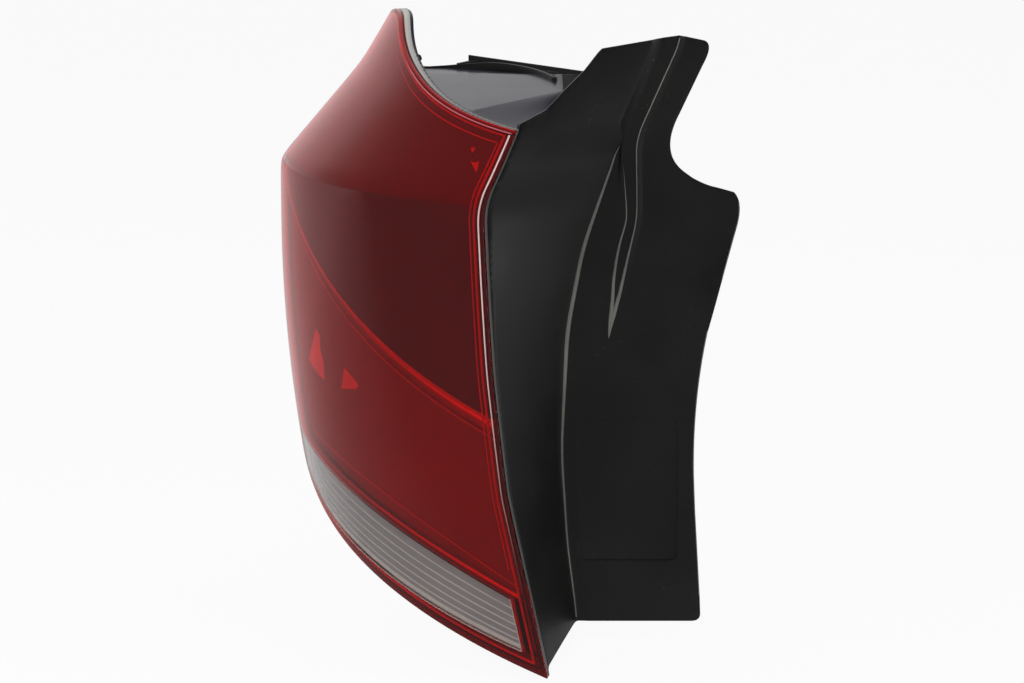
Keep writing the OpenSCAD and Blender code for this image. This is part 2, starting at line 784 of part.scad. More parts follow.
housing();
lens_red();
lens_strip();
weld_frame();
dark_bezel();
arc_trim();
stop_reflector();
strip_reflector();
bulb_holder();
holder_gasket();
holder_screws();
contact_tracks();
connector_pins();
stop_bulb_glass();
stop_bulb_cap();
turn_bulb_glass();
turn_bulb_cap();
body_gasket();
upper_stud();
lower_stud();
tip_buffer();
vent_cap();
vent_membrane();
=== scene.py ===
import math
import bmesh
import bpy
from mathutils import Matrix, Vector


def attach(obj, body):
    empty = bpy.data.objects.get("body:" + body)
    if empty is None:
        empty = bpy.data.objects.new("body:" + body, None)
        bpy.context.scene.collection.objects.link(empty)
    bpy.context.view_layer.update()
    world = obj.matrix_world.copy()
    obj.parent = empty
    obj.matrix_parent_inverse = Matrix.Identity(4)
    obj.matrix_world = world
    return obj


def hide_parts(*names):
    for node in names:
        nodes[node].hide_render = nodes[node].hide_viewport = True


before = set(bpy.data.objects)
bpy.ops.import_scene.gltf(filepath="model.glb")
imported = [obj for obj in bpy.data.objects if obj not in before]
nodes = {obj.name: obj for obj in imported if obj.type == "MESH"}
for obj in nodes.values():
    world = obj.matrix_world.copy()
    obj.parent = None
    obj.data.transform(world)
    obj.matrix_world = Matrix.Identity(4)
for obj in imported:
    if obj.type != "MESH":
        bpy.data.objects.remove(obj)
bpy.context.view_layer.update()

# Rear combination lamp of a car: red wrap-round lens and black housing with a wing.
# Lengths are in millimetres in the lens's own frame, and toRow() turns them into the row's metres.


def mix(a, b, t):
    return a + (b - a) * t


def soft(t, width):
    return (t + math.sqrt(t * t + width * width)) / 2


def ease(t):
    c = min(max(t, 0.0), 1.0)
    return c * c * (3 - 2 * c)


def lookup(x, table):
    if x <= table[0][0]:
        return table[0][1]
    for (x0, v0), (x1, v1) in zip(table, table[1:]):
        if x <= x1:
            return mix(v0, v1, (x - x0) / (x1 - x0))
    return table[-1][1]


def bend(a, b, c, n):
    a, b, c = Vector(a), Vector(b), Vector(c)
    return [mix(mix(a, b, i / n), mix(b, c, i / n), i / n) for i in range(n + 1)]


# Form of the lens, the same rule as the solid model
lensForm = {
    "origin": (6, 114, 308), "centreX": 32, "centreY": 191, "radius": 204, "rear": 205, "run": 235,
    "waistZ": 245, "bow": 12.2, "shoulderZ": 287, "shoulderSoft": 3.5, "shoulderLean": 40.8,
    "browZ": 348, "browSoft": 6, "browLean": 30.5, "sideLean": 19.3, "sideTilt": 2.3, "inboardY": 165,
    "seam": [(0, 11.9), (48, 14.6), (108, 17.9), (180, 19.7), (275, 21.1), (292, 19.8), (323, 18.1)],
    "low": 1, "lowRise": 95.6, "top": 322.5, "topRise": 80.7, "tipZ": 382.5, "tipSoft": 8,
    "wall": 3, "seat": 0.3, "frameH": 3.6, "rebate": 0.1, "frameW": 3, "hairline": 0.02,
}


def toRow(x, y, z):
    ox, oy, oz = lensForm["origin"]
    return Vector((x - ox, y - oy, z - oz)) / 1000


def slope(name):
    return math.tan(math.radians(lensForm[name]))


def reachBack(z):
    bow = lensForm["bow"] * (min(z - lensForm["waistZ"], 0) / 150) ** 2
    lean = slope("shoulderLean") * soft(z - lensForm["shoulderZ"], lensForm["shoulderSoft"])
    lean -= (slope("shoulderLean") - slope("browLean")) * soft(z - lensForm["browZ"], lensForm["browSoft"])
    return lensForm["rear"] - bow - lean


def reachSide(z):
    return (lensForm["radius"] - slope("sideTilt") * z
            - slope("sideLean") * soft(z - lensForm["shoulderZ"], lensForm["browSoft"]))


def seamTurn(z):
    # the corners of the table are rounded over 6 mm so that the long edge runs smoothly
    return sum(lookup(z + d, lensForm["seam"]) for d in (-6, -3, 0, 3, 6)) / 5


def endTurn(z):
    return math.degrees(math.acos((lensForm["centreY"] - lensForm["inboardY"]) / reachSide(z)))


def onLens(turn, z, depth=0.0):
    a = math.radians(turn)
    return Vector((lensForm["centreX"] - (reachBack(z) - depth) * math.sin(a),
                   lensForm["centreY"] - (reachSide(z) - depth) * math.cos(a), z))


def face(u, z, depth=0.0):
    return onLens(mix(seamTurn(z), endTurn(z), u), z, depth)


def lowEdge(u):
    # almost straight, and curled up at the inboard end
    return lensForm["low"] + lensForm["lowRise"] * (0.85 * u + 0.15 * u ** 5)


def highEdge(u):
    # rises ever more steeply to a blunt tip with a cut corner
    line = lensForm["top"] + lensForm["topRise"] * (0.43 * u + 0.57 * u * u)
    corner = 3 * (max(u - 0.9, 0) / 0.1) ** 2
    return lensForm["tipZ"] - soft(lensForm["tipZ"] - line, lensForm["tipSoft"]) - corner


stripForm = {"low": 11.5, "rise": 77, "height": 30, "swell": 9, "border": 3.5, "start": 0.055, "end": 0.93,
             "steps": 14, "endGap": 0.0004, "sideGap": 0.004}


def stripBottom(u):
    return max(stripForm["low"] + stripForm["rise"] * u, lowEdge(u) + stripForm["border"])


def stripTop(u):
    bow = stripForm["swell"] * 4 * u * (1 - u)
    return stripForm["low"] + stripForm["height"] + stripForm["rise"] * u + bow


arcForm = {"start": 147.5, "rise": 100, "bow": 40}


def curveAt(form, u):
    return form["start"] + form["rise"] * u + form["bow"] * u * u


def level(u, t):
    # rows of the lens: 0 to 1 under the strip, 1 to 2 over it, 2 to 3 above it
    if t < 1:
        return mix(lowEdge(u), stripBottom(u), t)
    if t < 2:
        return mix(stripBottom(u), stripTop(u), t - 1)
    return mix(stripTop(u), highEdge(u), t - 2)


rimDepth = lensForm["wall"] + lensForm["seat"] + lensForm["frameH"] + lensForm["rebate"]


# Nodes of a material or a geometry tree, one at a time
def addNode(tree, kind, *settings):
    # settings give the node's own properties, its inputs' values and the sockets that feed them
    node = tree.nodes.new(kind)
    for key, value in (pair for group in settings for pair in group.items()):
        if isinstance(value, bpy.types.NodeSocket):
            tree.links.new(value, node.inputs[key])
        elif isinstance(key, int) or key in node.inputs:
            node.inputs[key].default_value = value
        else:
            setattr(node, key, value)
    return node


def colour(code):
    parts = [int(code[i:i + 2], 16) / 255 for i in (1, 3, 5)]
    return tuple(c / 12.92 if c <= 0.04045 else ((c + 0.055) / 1.055) ** 2.4 for c in parts) + (1.0,)


def startMaterial(name, settings):
    material = bpy.data.materials.new(name)
    material.use_nodes = True
    tree = material.node_tree
    tree.nodes.clear()
    shader = addNode(tree, "ShaderNodeBsdfPrincipled", settings)
    addNode(tree, "ShaderNodeOutputMaterial", {"Surface": shader.outputs["BSDF"]})
    material.diffuse_color = tuple(settings.get("Base Color", (0.5, 0.5, 0.5, 1)))
    return material, tree, shader


def objectNoise(tree, mm, detail, roughness=0.5, stretch=(1, 1, 1)):
    # noise in the object's own frame, with features of a size in millimetres
    place = addNode(tree, "ShaderNodeTexCoord").outputs["Object"]
    turned = addNode(tree, "ShaderNodeMapping", {"Scale": stretch, "Vector": place}).outputs["Vector"]
    return addNode(tree, "ShaderNodeTexNoise", {"Scale": 1000 / mm, "Detail": detail, "Roughness": roughness,
                                                "Vector": turned}).outputs["Fac"]


def along(tree, space, axis):
    place = addNode(tree, "ShaderNodeTexCoord").outputs[space]
    return addNode(tree, "ShaderNodeSeparateXYZ", {"Vector": place}).outputs[axis]


def remap(tree, value, span, result=(0.0, 1.0)):
    return addNode(tree, "ShaderNodeMapRange", {
        "From Min": span[0], "From Max": span[1], "To Min": result[0], "To Max": result[1],
        "Value": value}).outputs["Result"]


def combine(tree, operation, a, b):
    return addNode(tree, "ShaderNodeMath", {"operation": operation, 0: a, 1: b}).outputs["Value"]


def blend(tree, share, low, high):
    # mixes two colours by a share
    return addNode(tree, "ShaderNodeMix", {"data_type": "RGBA", 0: share, 6: low, 7: high}).outputs[2]


def mixShader(tree, share, low, high):
    return addNode(tree, "ShaderNodeMixShader", {"Fac": share, 1: low, 2: high}).outputs["Shader"]


def toneRamp(tree, share, stops):
    # stops are pairs of a place and a colour, from low to high
    node = addNode(tree, "ShaderNodeValToRGB", {"Fac": share})
    elements = node.color_ramp.elements
    elements[0].position, elements[1].position = stops[0][0], stops[-1][0]
    elements[0].color, elements[1].color = stops[0][1], stops[-1][1]
    for at, tone in stops[1:-1]:
        elements.new(at).color = tone
    return node.outputs["Color"]


def bumped(tree, shader, height, strength, depth):
    bump = addNode(tree, "ShaderNodeBump", {"Strength": strength, "Distance": depth / 1000, "Height": height})
    tree.links.new(bump.outputs["Normal"], shader.inputs["Normal"])


def moulded(name, base, dusty, roughness, grainMm, grainDepth, specular=0.5, dust=None):
    # a moulded plastic: colour shifts slowly, the tool's grain breaks up the gloss
    material, tree, shader = startMaterial(name, {
        "Base Color": colour(base), "Roughness": roughness, "Specular IOR Level": specular, "IOR": 1.5})
    cloud = objectNoise(tree, 60, 4, 0.55)
    tone = toneRamp(tree, cloud, [(0.4, colour(base)), (0.75, colour(dusty))])
    if dust:
        # specks of about a millimetre, gathered in patches
        speck = remap(tree, objectNoise(tree, 4, 6, 0.7), (0.62, 0.74))
        patch = remap(tree, cloud, (0.52, 0.64))
        tone = blend(tree, combine(tree, "MULTIPLY", speck, patch), tone, colour(dust))
    tree.links.new(tone, shader.inputs["Base Color"])
    rough = remap(tree, cloud, (0.3, 0.7), (roughness - 0.05, roughness + 0.07))
    tree.links.new(rough, shader.inputs["Roughness"])
    bumped(tree, shader, objectNoise(tree, grainMm, 3, 0.6), 0.35, grainDepth)
    return material


def clearPlastic(name, base, roughness, ior=1.49, waveMm=25.0, waveDepth=0.02):
    # PMMA and glass: polished, with the slow waves that moulding or drawing leaves
    material, tree, shader = startMaterial(name, {
        "Base Color": colour(base), "Roughness": roughness, "IOR": ior, "Transmission Weight": 1.0})
    bumped(tree, shader, objectNoise(tree, waveMm, 1), 0.1, waveDepth)
    return material


def metal(name, base, tinted, roughness, grainMm, stretch, depth):
    material, tree, shader = startMaterial(name, {
        "Base Color": colour(base), "Metallic": 1.0, "Roughness": roughness})
    grain = objectNoise(tree, grainMm, 3, stretch=stretch)
    tone = toneRamp(tree, grain, [(0.35, colour(tinted)), (0.65, colour(base))])
    tree.links.new(tone, shader.inputs["Base Color"])
    bumped(tree, shader, grain, 0.3, depth)
    return material


def graded(material, darkTone, axis, start, end):
    # the colour is darker up to start and full from end on, along one axis
    tree = material.node_tree
    shader = next(n for n in tree.nodes if n.type == "BSDF_PRINCIPLED")
    bright = shader.inputs["Base Color"].links[0].from_socket
    share = remap(tree, along(tree, "Object", axis), (start, end))
    tree.links.new(blend(tree, share, colour(darkTone), bright), shader.inputs["Base Color"])


print("materials")

# Polypropylene, moulded against a finely eroded tool: near black, soft broad sheen, dust on it in patches
polypropyleneBlack = moulded("polypropyleneBlack", "#141414", "#1E1E1D", 0.42, 0.5, 0.02, 0.45, "#5A574C")
# The same along its corners, coloured pale: a painted sheen where the rounded corners catch the light
polypropyleneEdgeSheen = moulded("polypropyleneEdgeSheen", "#6A6A66", "#8C8C86", 0.3, 3.0, 0.02, 0.6)
# ABS, moulded against a polished tool, black: it mirrors the room at a low angle, and the blue-grey in its
# base colour is a painted reflection of that
absGlossBlack = moulded("absGlossBlack", "#2C2C38", "#32323E", 0.22, 6.0, 0.004, 0.6)
# Glass-filled nylon, natural colour, dull
nylonNatural = moulded("nylonNatural", "#BDBAAE", "#AFAB9C", 0.55, 0.6, 0.02, 0.4)
# EPDM rubber, matt, slightly greyed
rubberEpdm = moulded("rubberEpdm", "#141414", "#1E1E1D", 0.72, 0.6, 0.03, 0.3)
# Closed-cell PE foam, open skin with pores that show as a coarse bump
foamPolyethylene = moulded("foamPolyethylene", "#1E1F20", "#2B2B2B", 0.9, 1.4, 0.25, 0.2)
# Polycarbonate rim, frosted, pale at the tip
polycarbonateFrosted = moulded("polycarbonateFrosted", "#C8C6C2", "#BDBBB7", 0.35, 0.8, 0.01, 0.5)
# ABS panel behind the lens, satin, a dull brown that the red lens turns almost black
absSatinPanel = moulded("absSatinPanel", "#6E5C5A", "#7C6662", 0.6, 4.0, 0.002, 0.1)
# ABS behind the chamber and the strip, painted grey, and the pale ribs and lines on it; the pale grey of the
# ribs is a painted highlight standing in for the bright lines of the clear strip's own ribs
absSatinScreen = moulded("absSatinScreen", "#A89898", "#B6A6A6", 0.6, 4.0, 0.002, 0.1)
absGreyPanel = moulded("absGreyPanel", "#BCB2B2", "#AEA4A4", 0.4, 4.0, 0.004, 0.4)
absRibHighlight = moulded("absRibHighlight", "#F8F3F4", "#F0EAEC", 0.35, 4.0, 0.004, 0.4)
absCream = moulded("absCream", "#FAF2EA", "#F2E9E0", 0.35, 4.0, 0.004, 0.4)
# PMMA along the polished folds and edges of the lens, coloured as painted highlights and reflection: pale
# beside the seam, pink along the top
pmmaSeamHighlight = moulded("pmmaSeamHighlight", "#E9CFCD", "#DDBFBD", 0.2, 4.0, 0.002, 0.5)
pmmaTopHighlight = moulded("pmmaTopHighlight", "#C85A64", "#BC505A", 0.2, 4.0, 0.002, 0.5)
pmmaEdgeReflection = moulded("pmmaEdgeReflection", "#D9BFC2", "#CDB2B6", 0.25, 4.0, 0.002, 0.5)
# The standing walls and lines of red PMMA, which pipe light: their bright orange-red is a painted glow
pmmaRedGlow = moulded("pmmaRedGlow", "#FF5236", "#F8482E", 0.2, 4.0, 0.004, 0.5)
# Woven PTFE membrane, white and dull
membranePtfe = moulded("membranePtfe", "#D9D9D6", "#C9C9C5", 0.85, 0.5, 0.02, 0.2)
# PMMA, dyed red right through, injection moulded and polished
pmmaRed = clearPlastic("pmmaRed", "#FA141C", 0.02)
# PMMA, water clear
pmmaClear = clearPlastic("pmmaClear", "#FDFCFB", 0.03)
# Soda-lime bulb glass, clear and amber lacquered
bulbGlassClear = clearPlastic("bulbGlassClear", "#F2F4F5", 0.01, 1.52, 8, 0.01)
bulbGlassAmber = clearPlastic("bulbGlassAmber", "#F08A1E", 0.04, 1.52, 8, 0.01)
# Vacuum aluminised ABS: bright but soft, the moulding shows through as a slight ripple
aluminised = metal("aluminised", "#D8D6D6", "#C9C6C6", 0.22, 12, (1, 1, 1), 0.03)
# Aluminised trim, brighter and polished
aluminisedTrim = metal("aluminisedTrim", "#F2EFEF", "#E6E2E2", 0.3, 10, (1, 1, 1), 0.01)
# The same coat on the small facets, mirror bright: painted light, put where light shines through openings of
# the chamber
aluminisedFacet = metal("aluminisedFacet", "#FFFAFA", "#F4EEEE", 0.18, 10, (1, 1, 1), 0.01)
# Zinc plated steel, cold headed: grey with a fine drawn grain
zincSteel = metal("zincSteel", "#B9BBBE", "#9DA0A4", 0.32, 0.8, (0.2, 1, 1), 0.02)
# Brass strip, stamped and slightly dulled
brassStamped = metal("brassStamped", "#C9A25A", "#B08C4A", 0.34, 1.5, (1, 1, 0.3), 0.02)
# Trim, fold and rim are darker at one end; on the fold this is painted shade where its highlight fades
# towards the bottom
graded(aluminisedTrim, "#6A5C5C", "X", -0.16, -0.04)
graded(pmmaSeamHighlight, "#7A3A36", "Z", -0.24, -0.1)
graded(polycarbonateFrosted, "#6E6C6A", "Z", 0.02, 0.05)


def makeObject(name, mesh, material):
    obj = bpy.data.objects.new(name, mesh)
    bpy.context.scene.collection.objects.link(obj)
    obj.data.materials.clear()
    obj.data.materials.append(material)
    return obj


def smoothShade(mesh, angle):
    mesh.polygons.foreach_set("use_smooth", [True] * len(mesh.polygons))
    mesh.set_sharp_from_angle(angle=math.radians(angle))
    mesh.update()


def meshFrom(name, points, faces, angle=35):
    # points in millimetres of the lens frame
    mesh = bpy.data.meshes.new(name)
    mesh.from_pydata([toRow(*p) for p in points], [], faces)
    bm = bmesh.new()
    bm.from_mesh(mesh)
    bmesh.ops.remove_doubles(bm, verts=bm.verts, dist=0.000005)
    bmesh.ops.recalc_face_normals(bm, faces=bm.faces)
    bm.to_mesh(mesh)
    bm.free()
    smoothShade(mesh, angle)
    return mesh


def loftFaces(rings, caps="ends"):
    # rings with the same number of points, joined one after another
    n, last = len(rings[0]), len(rings) - 1
    points = [p for r in rings for p in r]
    pairs = [(k, k + 1) for k in range(last)] + ([(last, 0)] if caps == "loop" else [])
    faces = []
    for a, b in pairs:
        for i in range(n):
            j = (i + 1) % n
            faces.append((a * n + i, a * n + j, b * n + j, b * n + i))
    if caps == "ends":
        faces.append(tuple(range(n)))
        faces.append(tuple(last * n + i for i in reversed(range(n))))
    if caps == "strip":
        for first in (0, last * n):
            for i in range(n // 2 - 1):
                faces.append((first + i, first + i + 1, first + n - 2 - i, first + n - 1 - i))
    return points, faces


def settle(obj):
    bpy.context.view_layer.update()
    result = bpy.data.meshes.new_from_object(
        obj.evaluated_get(bpy.context.evaluated_depsgraph_get()))
    obj.modifiers.clear()
    obj.data = result
    return obj


def edgeBevel(obj, width, angle=50, segments=2, shade=35):
    bevel = obj.modifiers.new("edge", "BEVEL")
    bevel.width = width / 1000
    bevel.segments = segments
    bevel.limit_method = "ANGLE"
    bevel.angle_limit = math.radians(angle)
    bevel.harden_normals = True
    settle(obj)
    smoothShade(obj.data, shade)
    return obj


def place(obj, node):
    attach(obj, "root")
    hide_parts(node)


def startTree(name, sockets):
    tree = bpy.data.node_groups.new(name, "GeometryNodeTree")
    tree.interface.new_socket(name="Geometry", in_out="INPUT", socket_type="NodeSocketGeometry")
    for label, kind in sockets:
        tree.interface.new_socket(name=label, in_out="INPUT", socket_type=kind)
    tree.interface.new_socket(name="Geometry", in_out="OUTPUT", socket_type="NodeSocketGeometry")
    return tree, addNode(tree, "NodeGroupInput"), addNode(tree, "NodeGroupOutput")


def finishTree(tree, made, given, result):
    real = addNode(tree, "GeometryNodeRealizeInstances", {"Geometry": made})
    paint = addNode(tree, "GeometryNodeSetMaterial",
                    {"Geometry": real.outputs["Geometry"], "Material": given.outputs["Material"]})
    tree.links.new(paint.outputs["Geometry"], result.inputs["Geometry"])
    return tree


def beadTree():
    # an oval bead that follows every line of the mesh it is given
    tree, given, result = startTree("beadAlongLines", [
        ("Radius", "NodeSocketFloat"), ("Sides", "NodeSocketInt"), ("Material", "NodeSocketMaterial")])
    curve = addNode(tree, "GeometryNodeMeshToCurve", {"Mesh": given.outputs["Geometry"]})
    profile = addNode(tree, "GeometryNodeCurvePrimitiveCircle", {
        "Resolution": given.outputs["Sides"], "Radius": given.outputs["Radius"]})
    width = addNode(tree, "GeometryNodeInputNamedAttribute", {"data_type": "FLOAT", "Name": "width"})
    swept = addNode(tree, "GeometryNodeCurveToMesh", {"Fill Caps": True}, {
        "Curve": curve.outputs["Curve"], "Profile Curve": profile.outputs["Curve"],
        "Scale": width.outputs["Attribute"]})
    smooth = addNode(tree, "GeometryNodeSetShadeSmooth", {"Geometry": swept.outputs["Mesh"]})
    return finishTree(tree, smooth.outputs["Geometry"], given, result)


def copiesTree():
    # one copy of a piece on every point, turned and stretched by the point's own values
    tree, given, result = startTree("copiesOnPoints", [
        ("Piece", "NodeSocketObject"), ("Material", "NodeSocketMaterial")])
    piece = addNode(tree, "GeometryNodeObjectInfo", {"Object": given.outputs["Piece"]})
    turn = addNode(tree, "GeometryNodeInputNamedAttribute", {"data_type": "FLOAT_VECTOR", "Name": "turn"})
    size = addNode(tree, "GeometryNodeInputNamedAttribute", {"data_type": "FLOAT_VECTOR", "Name": "size"})
    rotation = addNode(tree, "FunctionNodeEulerToRotation", {"Euler": turn.outputs["Attribute"]})
    copies = addNode(tree, "GeometryNodeInstanceOnPoints", {
        "Points": given.outputs["Geometry"], "Instance": piece.outputs["Geometry"],
        "Rotation": rotation.outputs["Rotation"], "Scale": size.outputs["Attribute"]})
    return finishTree(tree, copies.outputs["Instances"], given, result)


beadGroup, copiesGroup = beadTree(), copiesTree()


def runTree(obj, group, values):
    run = obj.modifiers.new(group.name, "NODES")
    run.node_group = group
    for item in group.interface.items_tree:
        if item.name in values:
            run[item.identifier] = values[item.name]
    return settle(obj)


def beads(name, paths, radius, material, widths=((0, 1),), sides=10):
    # paths are lists of points in millimetres, each becomes one bead, widths scale it along the way
    points, edges, shareAt = [], [], []
    for path in paths:
        edges += [(len(points) + i, len(points) + i + 1) for i in range(len(path) - 1)]
        points += [toRow(*p) for p in path]
        shareAt += [lookup(i / (len(path) - 1), widths) for i in range(len(path))]
    mesh = bpy.data.meshes.new(name)
    mesh.from_pydata(points, edges, [])
    mesh.attributes.new("width", "FLOAT", "POINT").data.foreach_set("value", shareAt)
    obj = makeObject(name, mesh, material)
    return runTree(obj, beadGroup, {"Radius": radius / 1000, "Sides": sides, "Material": material})


def placeBeads(table):
    # a row of the table: name, then paths, radius, material, node and, where it varies, the widths
    for name, (paths, radius, material, node, *widths) in table.items():
        place(beads(name, paths, radius, material, *widths), node)


def copies(name, piece, spots, material):
    # spots are pairs of place, turn and size, with the size in millimetres
    mesh = bpy.data.meshes.new(name)
    mesh.from_pydata([toRow(*at) for at, turn, size in spots], [], [])
    for label, values in (("turn", [turn for at, turn, size in spots]),
                          ("size", [size for at, turn, size in spots])):
        attribute = mesh.attributes.new(label, "FLOAT_VECTOR", "POINT")
        attribute.data.foreach_set("vector", [v for value in values for v in value])
    obj = makeObject(name, mesh, material)
    runTree(obj, copiesGroup, {"Piece": piece, "Material": material})
    source = piece.data
    bpy.data.objects.remove(piece)
    bpy.data.meshes.remove(source)
    return obj


print("lens")

lensGrid = {"borderCols": 5, "stripCols": 110, "lowRows": 8, "stripRows": 14, "panelRows": 96, "edge": 1.2}


def spread(start, end, count):
    return [mix(start, end, i / count) for i in range(count)]


def lensShares():
    s, e = stripForm["start"], stripForm["end"]
    us = spread(0, s, lensGrid["borderCols"]) + spread(s, e, lensGrid["stripCols"])
    us += spread(e, 1, lensGrid["borderCols"]) + [1]
    ts = spread(0, 1, lensGrid["lowRows"]) + spread(1, 2, lensGrid["stripRows"])
    ts += spread(2, 3, lensGrid["panelRows"]) + [3]
    return us, ts


def buildLens():
    us, ts = lensShares()
    rows, wall = len(ts), lensForm["wall"]
    points = [face(u, level(u, t), d) for d in (0, wall) for u in us for t in ts]
    count = len(us) * rows
    c0, c1 = lensGrid["borderCols"], lensGrid["borderCols"] + lensGrid["stripCols"]
    r0, r1 = lensGrid["lowRows"], lensGrid["lowRows"] + lensGrid["stripRows"]

    def filled(i, j):
        inside = 0 <= i < len(us) - 1 and 0 <= j < rows - 1
        return inside and not (c0 <= i < c1 and r0 <= j < r1)

    faces = []
    for i in range(len(us) - 1):
        for j in range(rows - 1):
            if not filled(i, j):
                continue
            a, b, d = i * rows + j, (i + 1) * rows + j, count
            faces.append((a, b, b + 1, a + 1))
            faces.append((a + d, a + d + 1, b + d + 1, b + d))
            # the edges of shell and window are closed where no cell lies beside this one
            sides = (((i - 1, j), (a, a + 1, a + d + 1, a + d)), ((i + 1, j), (b, b + d, b + d + 1, b + 1)),
                     ((i, j - 1), (a, a + d, b + d, b)), ((i, j + 1), (a + 1, b + 1, b + d + 1, a + d + 1)))
            faces += [side for beside, side in sides if not filled(*beside)]
    used = sorted({v for f in faces for v in f})
    index = {v: k for k, v in enumerate(used)}
    mesh = meshFrom("lensShell", [points[v] for v in used], [tuple(index[v] for v in f) for f in faces])
    return edgeBevel(makeObject("lensShell", mesh, pmmaRed), lensGrid["edge"], 60)


place(buildLens(), "lens_red")


def buildStrip():
    steps = stripForm["steps"]
    rings = []
    for i in range(lensGrid["stripCols"] + 1):
        u = mix(stripForm["start"], stripForm["end"], i / lensGrid["stripCols"])
        u = min(max(u, stripForm["start"] + stripForm["endGap"]), stripForm["end"] - stripForm["endGap"])
        gap = stripForm["sideGap"]
        rows = [1 + gap + (1 - 2 * gap) * j / steps for j in range(steps + 1)]
        outer = [face(u, level(u, t), lensForm["hairline"]) for t in rows]
        inner = [face(u, level(u, t), lensForm["wall"]) for t in reversed(rows)]
        rings.append(outer + inner)
    points, faces = loftFaces(rings, "strip")
    return makeObject("clearStrip", meshFrom("clearStrip", points, faces, angle=20), pmmaClear)


place(buildStrip(), "lens_strip")

print("rim and box")

loopCount = {"low": 90, "end": 70, "high": 180}


def loopShares(low, end, high):
    # once round the lens: along its low edge, up the inboard end, back along the top, down the seam
    return ([(i / low, 0) for i in range(low)] + [(1, i / end) for i in range(end)]
            + [(1 - i / high, 1) for i in range(high)] + [(0, 1 - i / end) for i in range(end)])


shares = loopShares(loopCount["low"], loopCount["end"], loopCount["high"])


def edgePoint(e, depth, inset):
    u = mix(inset / lensForm["run"], 1 - inset / lensForm["run"], e[0])
    return face(u, mix(lowEdge(u) + inset, highEdge(u) - inset, e[1]), depth)


def edgeLoop(depth, inset):
    return [edgePoint(e, depth, inset) for e in shares]


boxForm = {
    "wall": 2.6, "plateX": 6, "plateOut": 84, "plateIn": 146, "plateLow": 42, "plateTilt": 0.08, "plateR": 12,
    "roofY": 20, "roofZ": 326, "roofSlope": 8, "stepIn": 1.2, "neck": 0.4,
}


def roof(y):
    return boxForm["roofZ"] + math.tan(math.radians(boxForm["roofSlope"])) * (y - boxForm["roofY"])


def underRoof(depth, inset, drop):
    ring = []
    for e in shares:
        u = mix(inset / lensForm["run"], 1 - inset / lensForm["run"], e[0])
        p = edgePoint(e, depth, inset)
        ring.append(face(u, min(p.z, roof(p.y) - drop), depth))
    return ring


def plateLoop(x, inset):
    ring = []
    r = boxForm["plateR"]
    for e in shares:
        y = mix(boxForm["plateOut"] + inset, boxForm["plateIn"] - inset, e[0])
        low = boxForm["plateLow"] + boxForm["plateTilt"] * (y - boxForm["plateOut"]) + inset
        high = roof(y) - inset
        z = mix(low, high, e[1])
        cy = min(max(y, boxForm["plateOut"] + r), boxForm["plateIn"] - r)
        cz = min(max(z, low - inset + r), high + inset - r)
        v = Vector((y - cy, z - cz))
        if abs(v.x) > 0.01 and abs(v.y) > 0.01:
            v = v.normalized() * (r - inset)
            y, z = cy + v.x, cz + v.y
        ring.append(Vector((x, y, z)))
    return ring


def between(a, b, count):
    return [[mix(p, q, k / count) for p, q in zip(a, b)] for k in range(1, count)]


def buildRim():
    d = lensForm["wall"] + lensForm["seat"]
    h, w, out = lensForm["frameH"], lensForm["frameW"], lensForm["hairline"]
    rings = [edgeLoop(d + h, out), edgeLoop(d + h, w), edgeLoop(d, w), edgeLoop(d, out)]
    points, faces = loftFaces(rings, "loop")
    obj = makeObject("weldRim", meshFrom("weldRim", points, faces), polycarbonateFrosted)
    return edgeBevel(obj, 0.3, 50)


place(buildRim(), "weld_frame")


def buildBox():
    back = rimDepth + boxForm["wall"]
    inner = plateLoop(boxForm["plateX"] - boxForm["wall"], boxForm["wall"])
    mouth = underRoof(rimDepth + boxForm["neck"], lensForm["frameW"], boxForm["wall"])
    neck = underRoof(back + boxForm["neck"], boxForm["stepIn"], 0)
    plate = plateLoop(boxForm["plateX"], 0)
    rings = [inner] + between(inner, mouth, 8) + [mouth]
    rings += [edgeLoop(rimDepth, lensForm["frameW"]), edgeLoop(rimDepth, 0),
              edgeLoop(back, boxForm["stepIn"]), neck]
    rings += between(neck, plate, 14) + [plate]
    points, faces = loftFaces(rings)
    obj = makeObject("lampBox", meshFrom("lampBox", points, faces, angle=30), absGlossBlack)
    return edgeBevel(obj, 0.5, 40)


place(buildBox(), "housing")

print("shroud")

shroudForm = {
    "wingY": 72, "front": 130, "fall": 5, "lip": 4, "kneeRound": 6, "tuck": 1.1, "rowStep": 2.5, "lowest": -4,
    "tall": 396, "through": (-40, 140), "label": (60, 90, 0.5, 5), "labelAt": (10, 95),
    "ridge": 2.0, "ridgeZ": 195, "ridgeRise": 55, "ridgeGrow": 60, "ridgeWidth": (2, 9), "upperZ": 300,
    "upperGrow": 22, "crease": [(13, 15), (60, 8.8), (120, 5), (195, 8.5), (245, 18), (268, 26), (307, 40)],
    "fold": [(195, 35.5), (241, 45), (263, 50), (311, 49), (370, 75)],
}
# places in a row of the shroud's points: middle of the crease, start of the ridge, its fold
rowMarks = {"crease": 19, "ridge": 30, "fold": 34}


def rounded(z, table, width):
    return sum(lookup(z + width * k / 3, table) for k in range(-3, 4)) / 7


def creaseX(z):
    return rounded(z, shroudForm["crease"], 12)


def foldX(z):
    return rounded(z, shroudForm["fold"], 8)


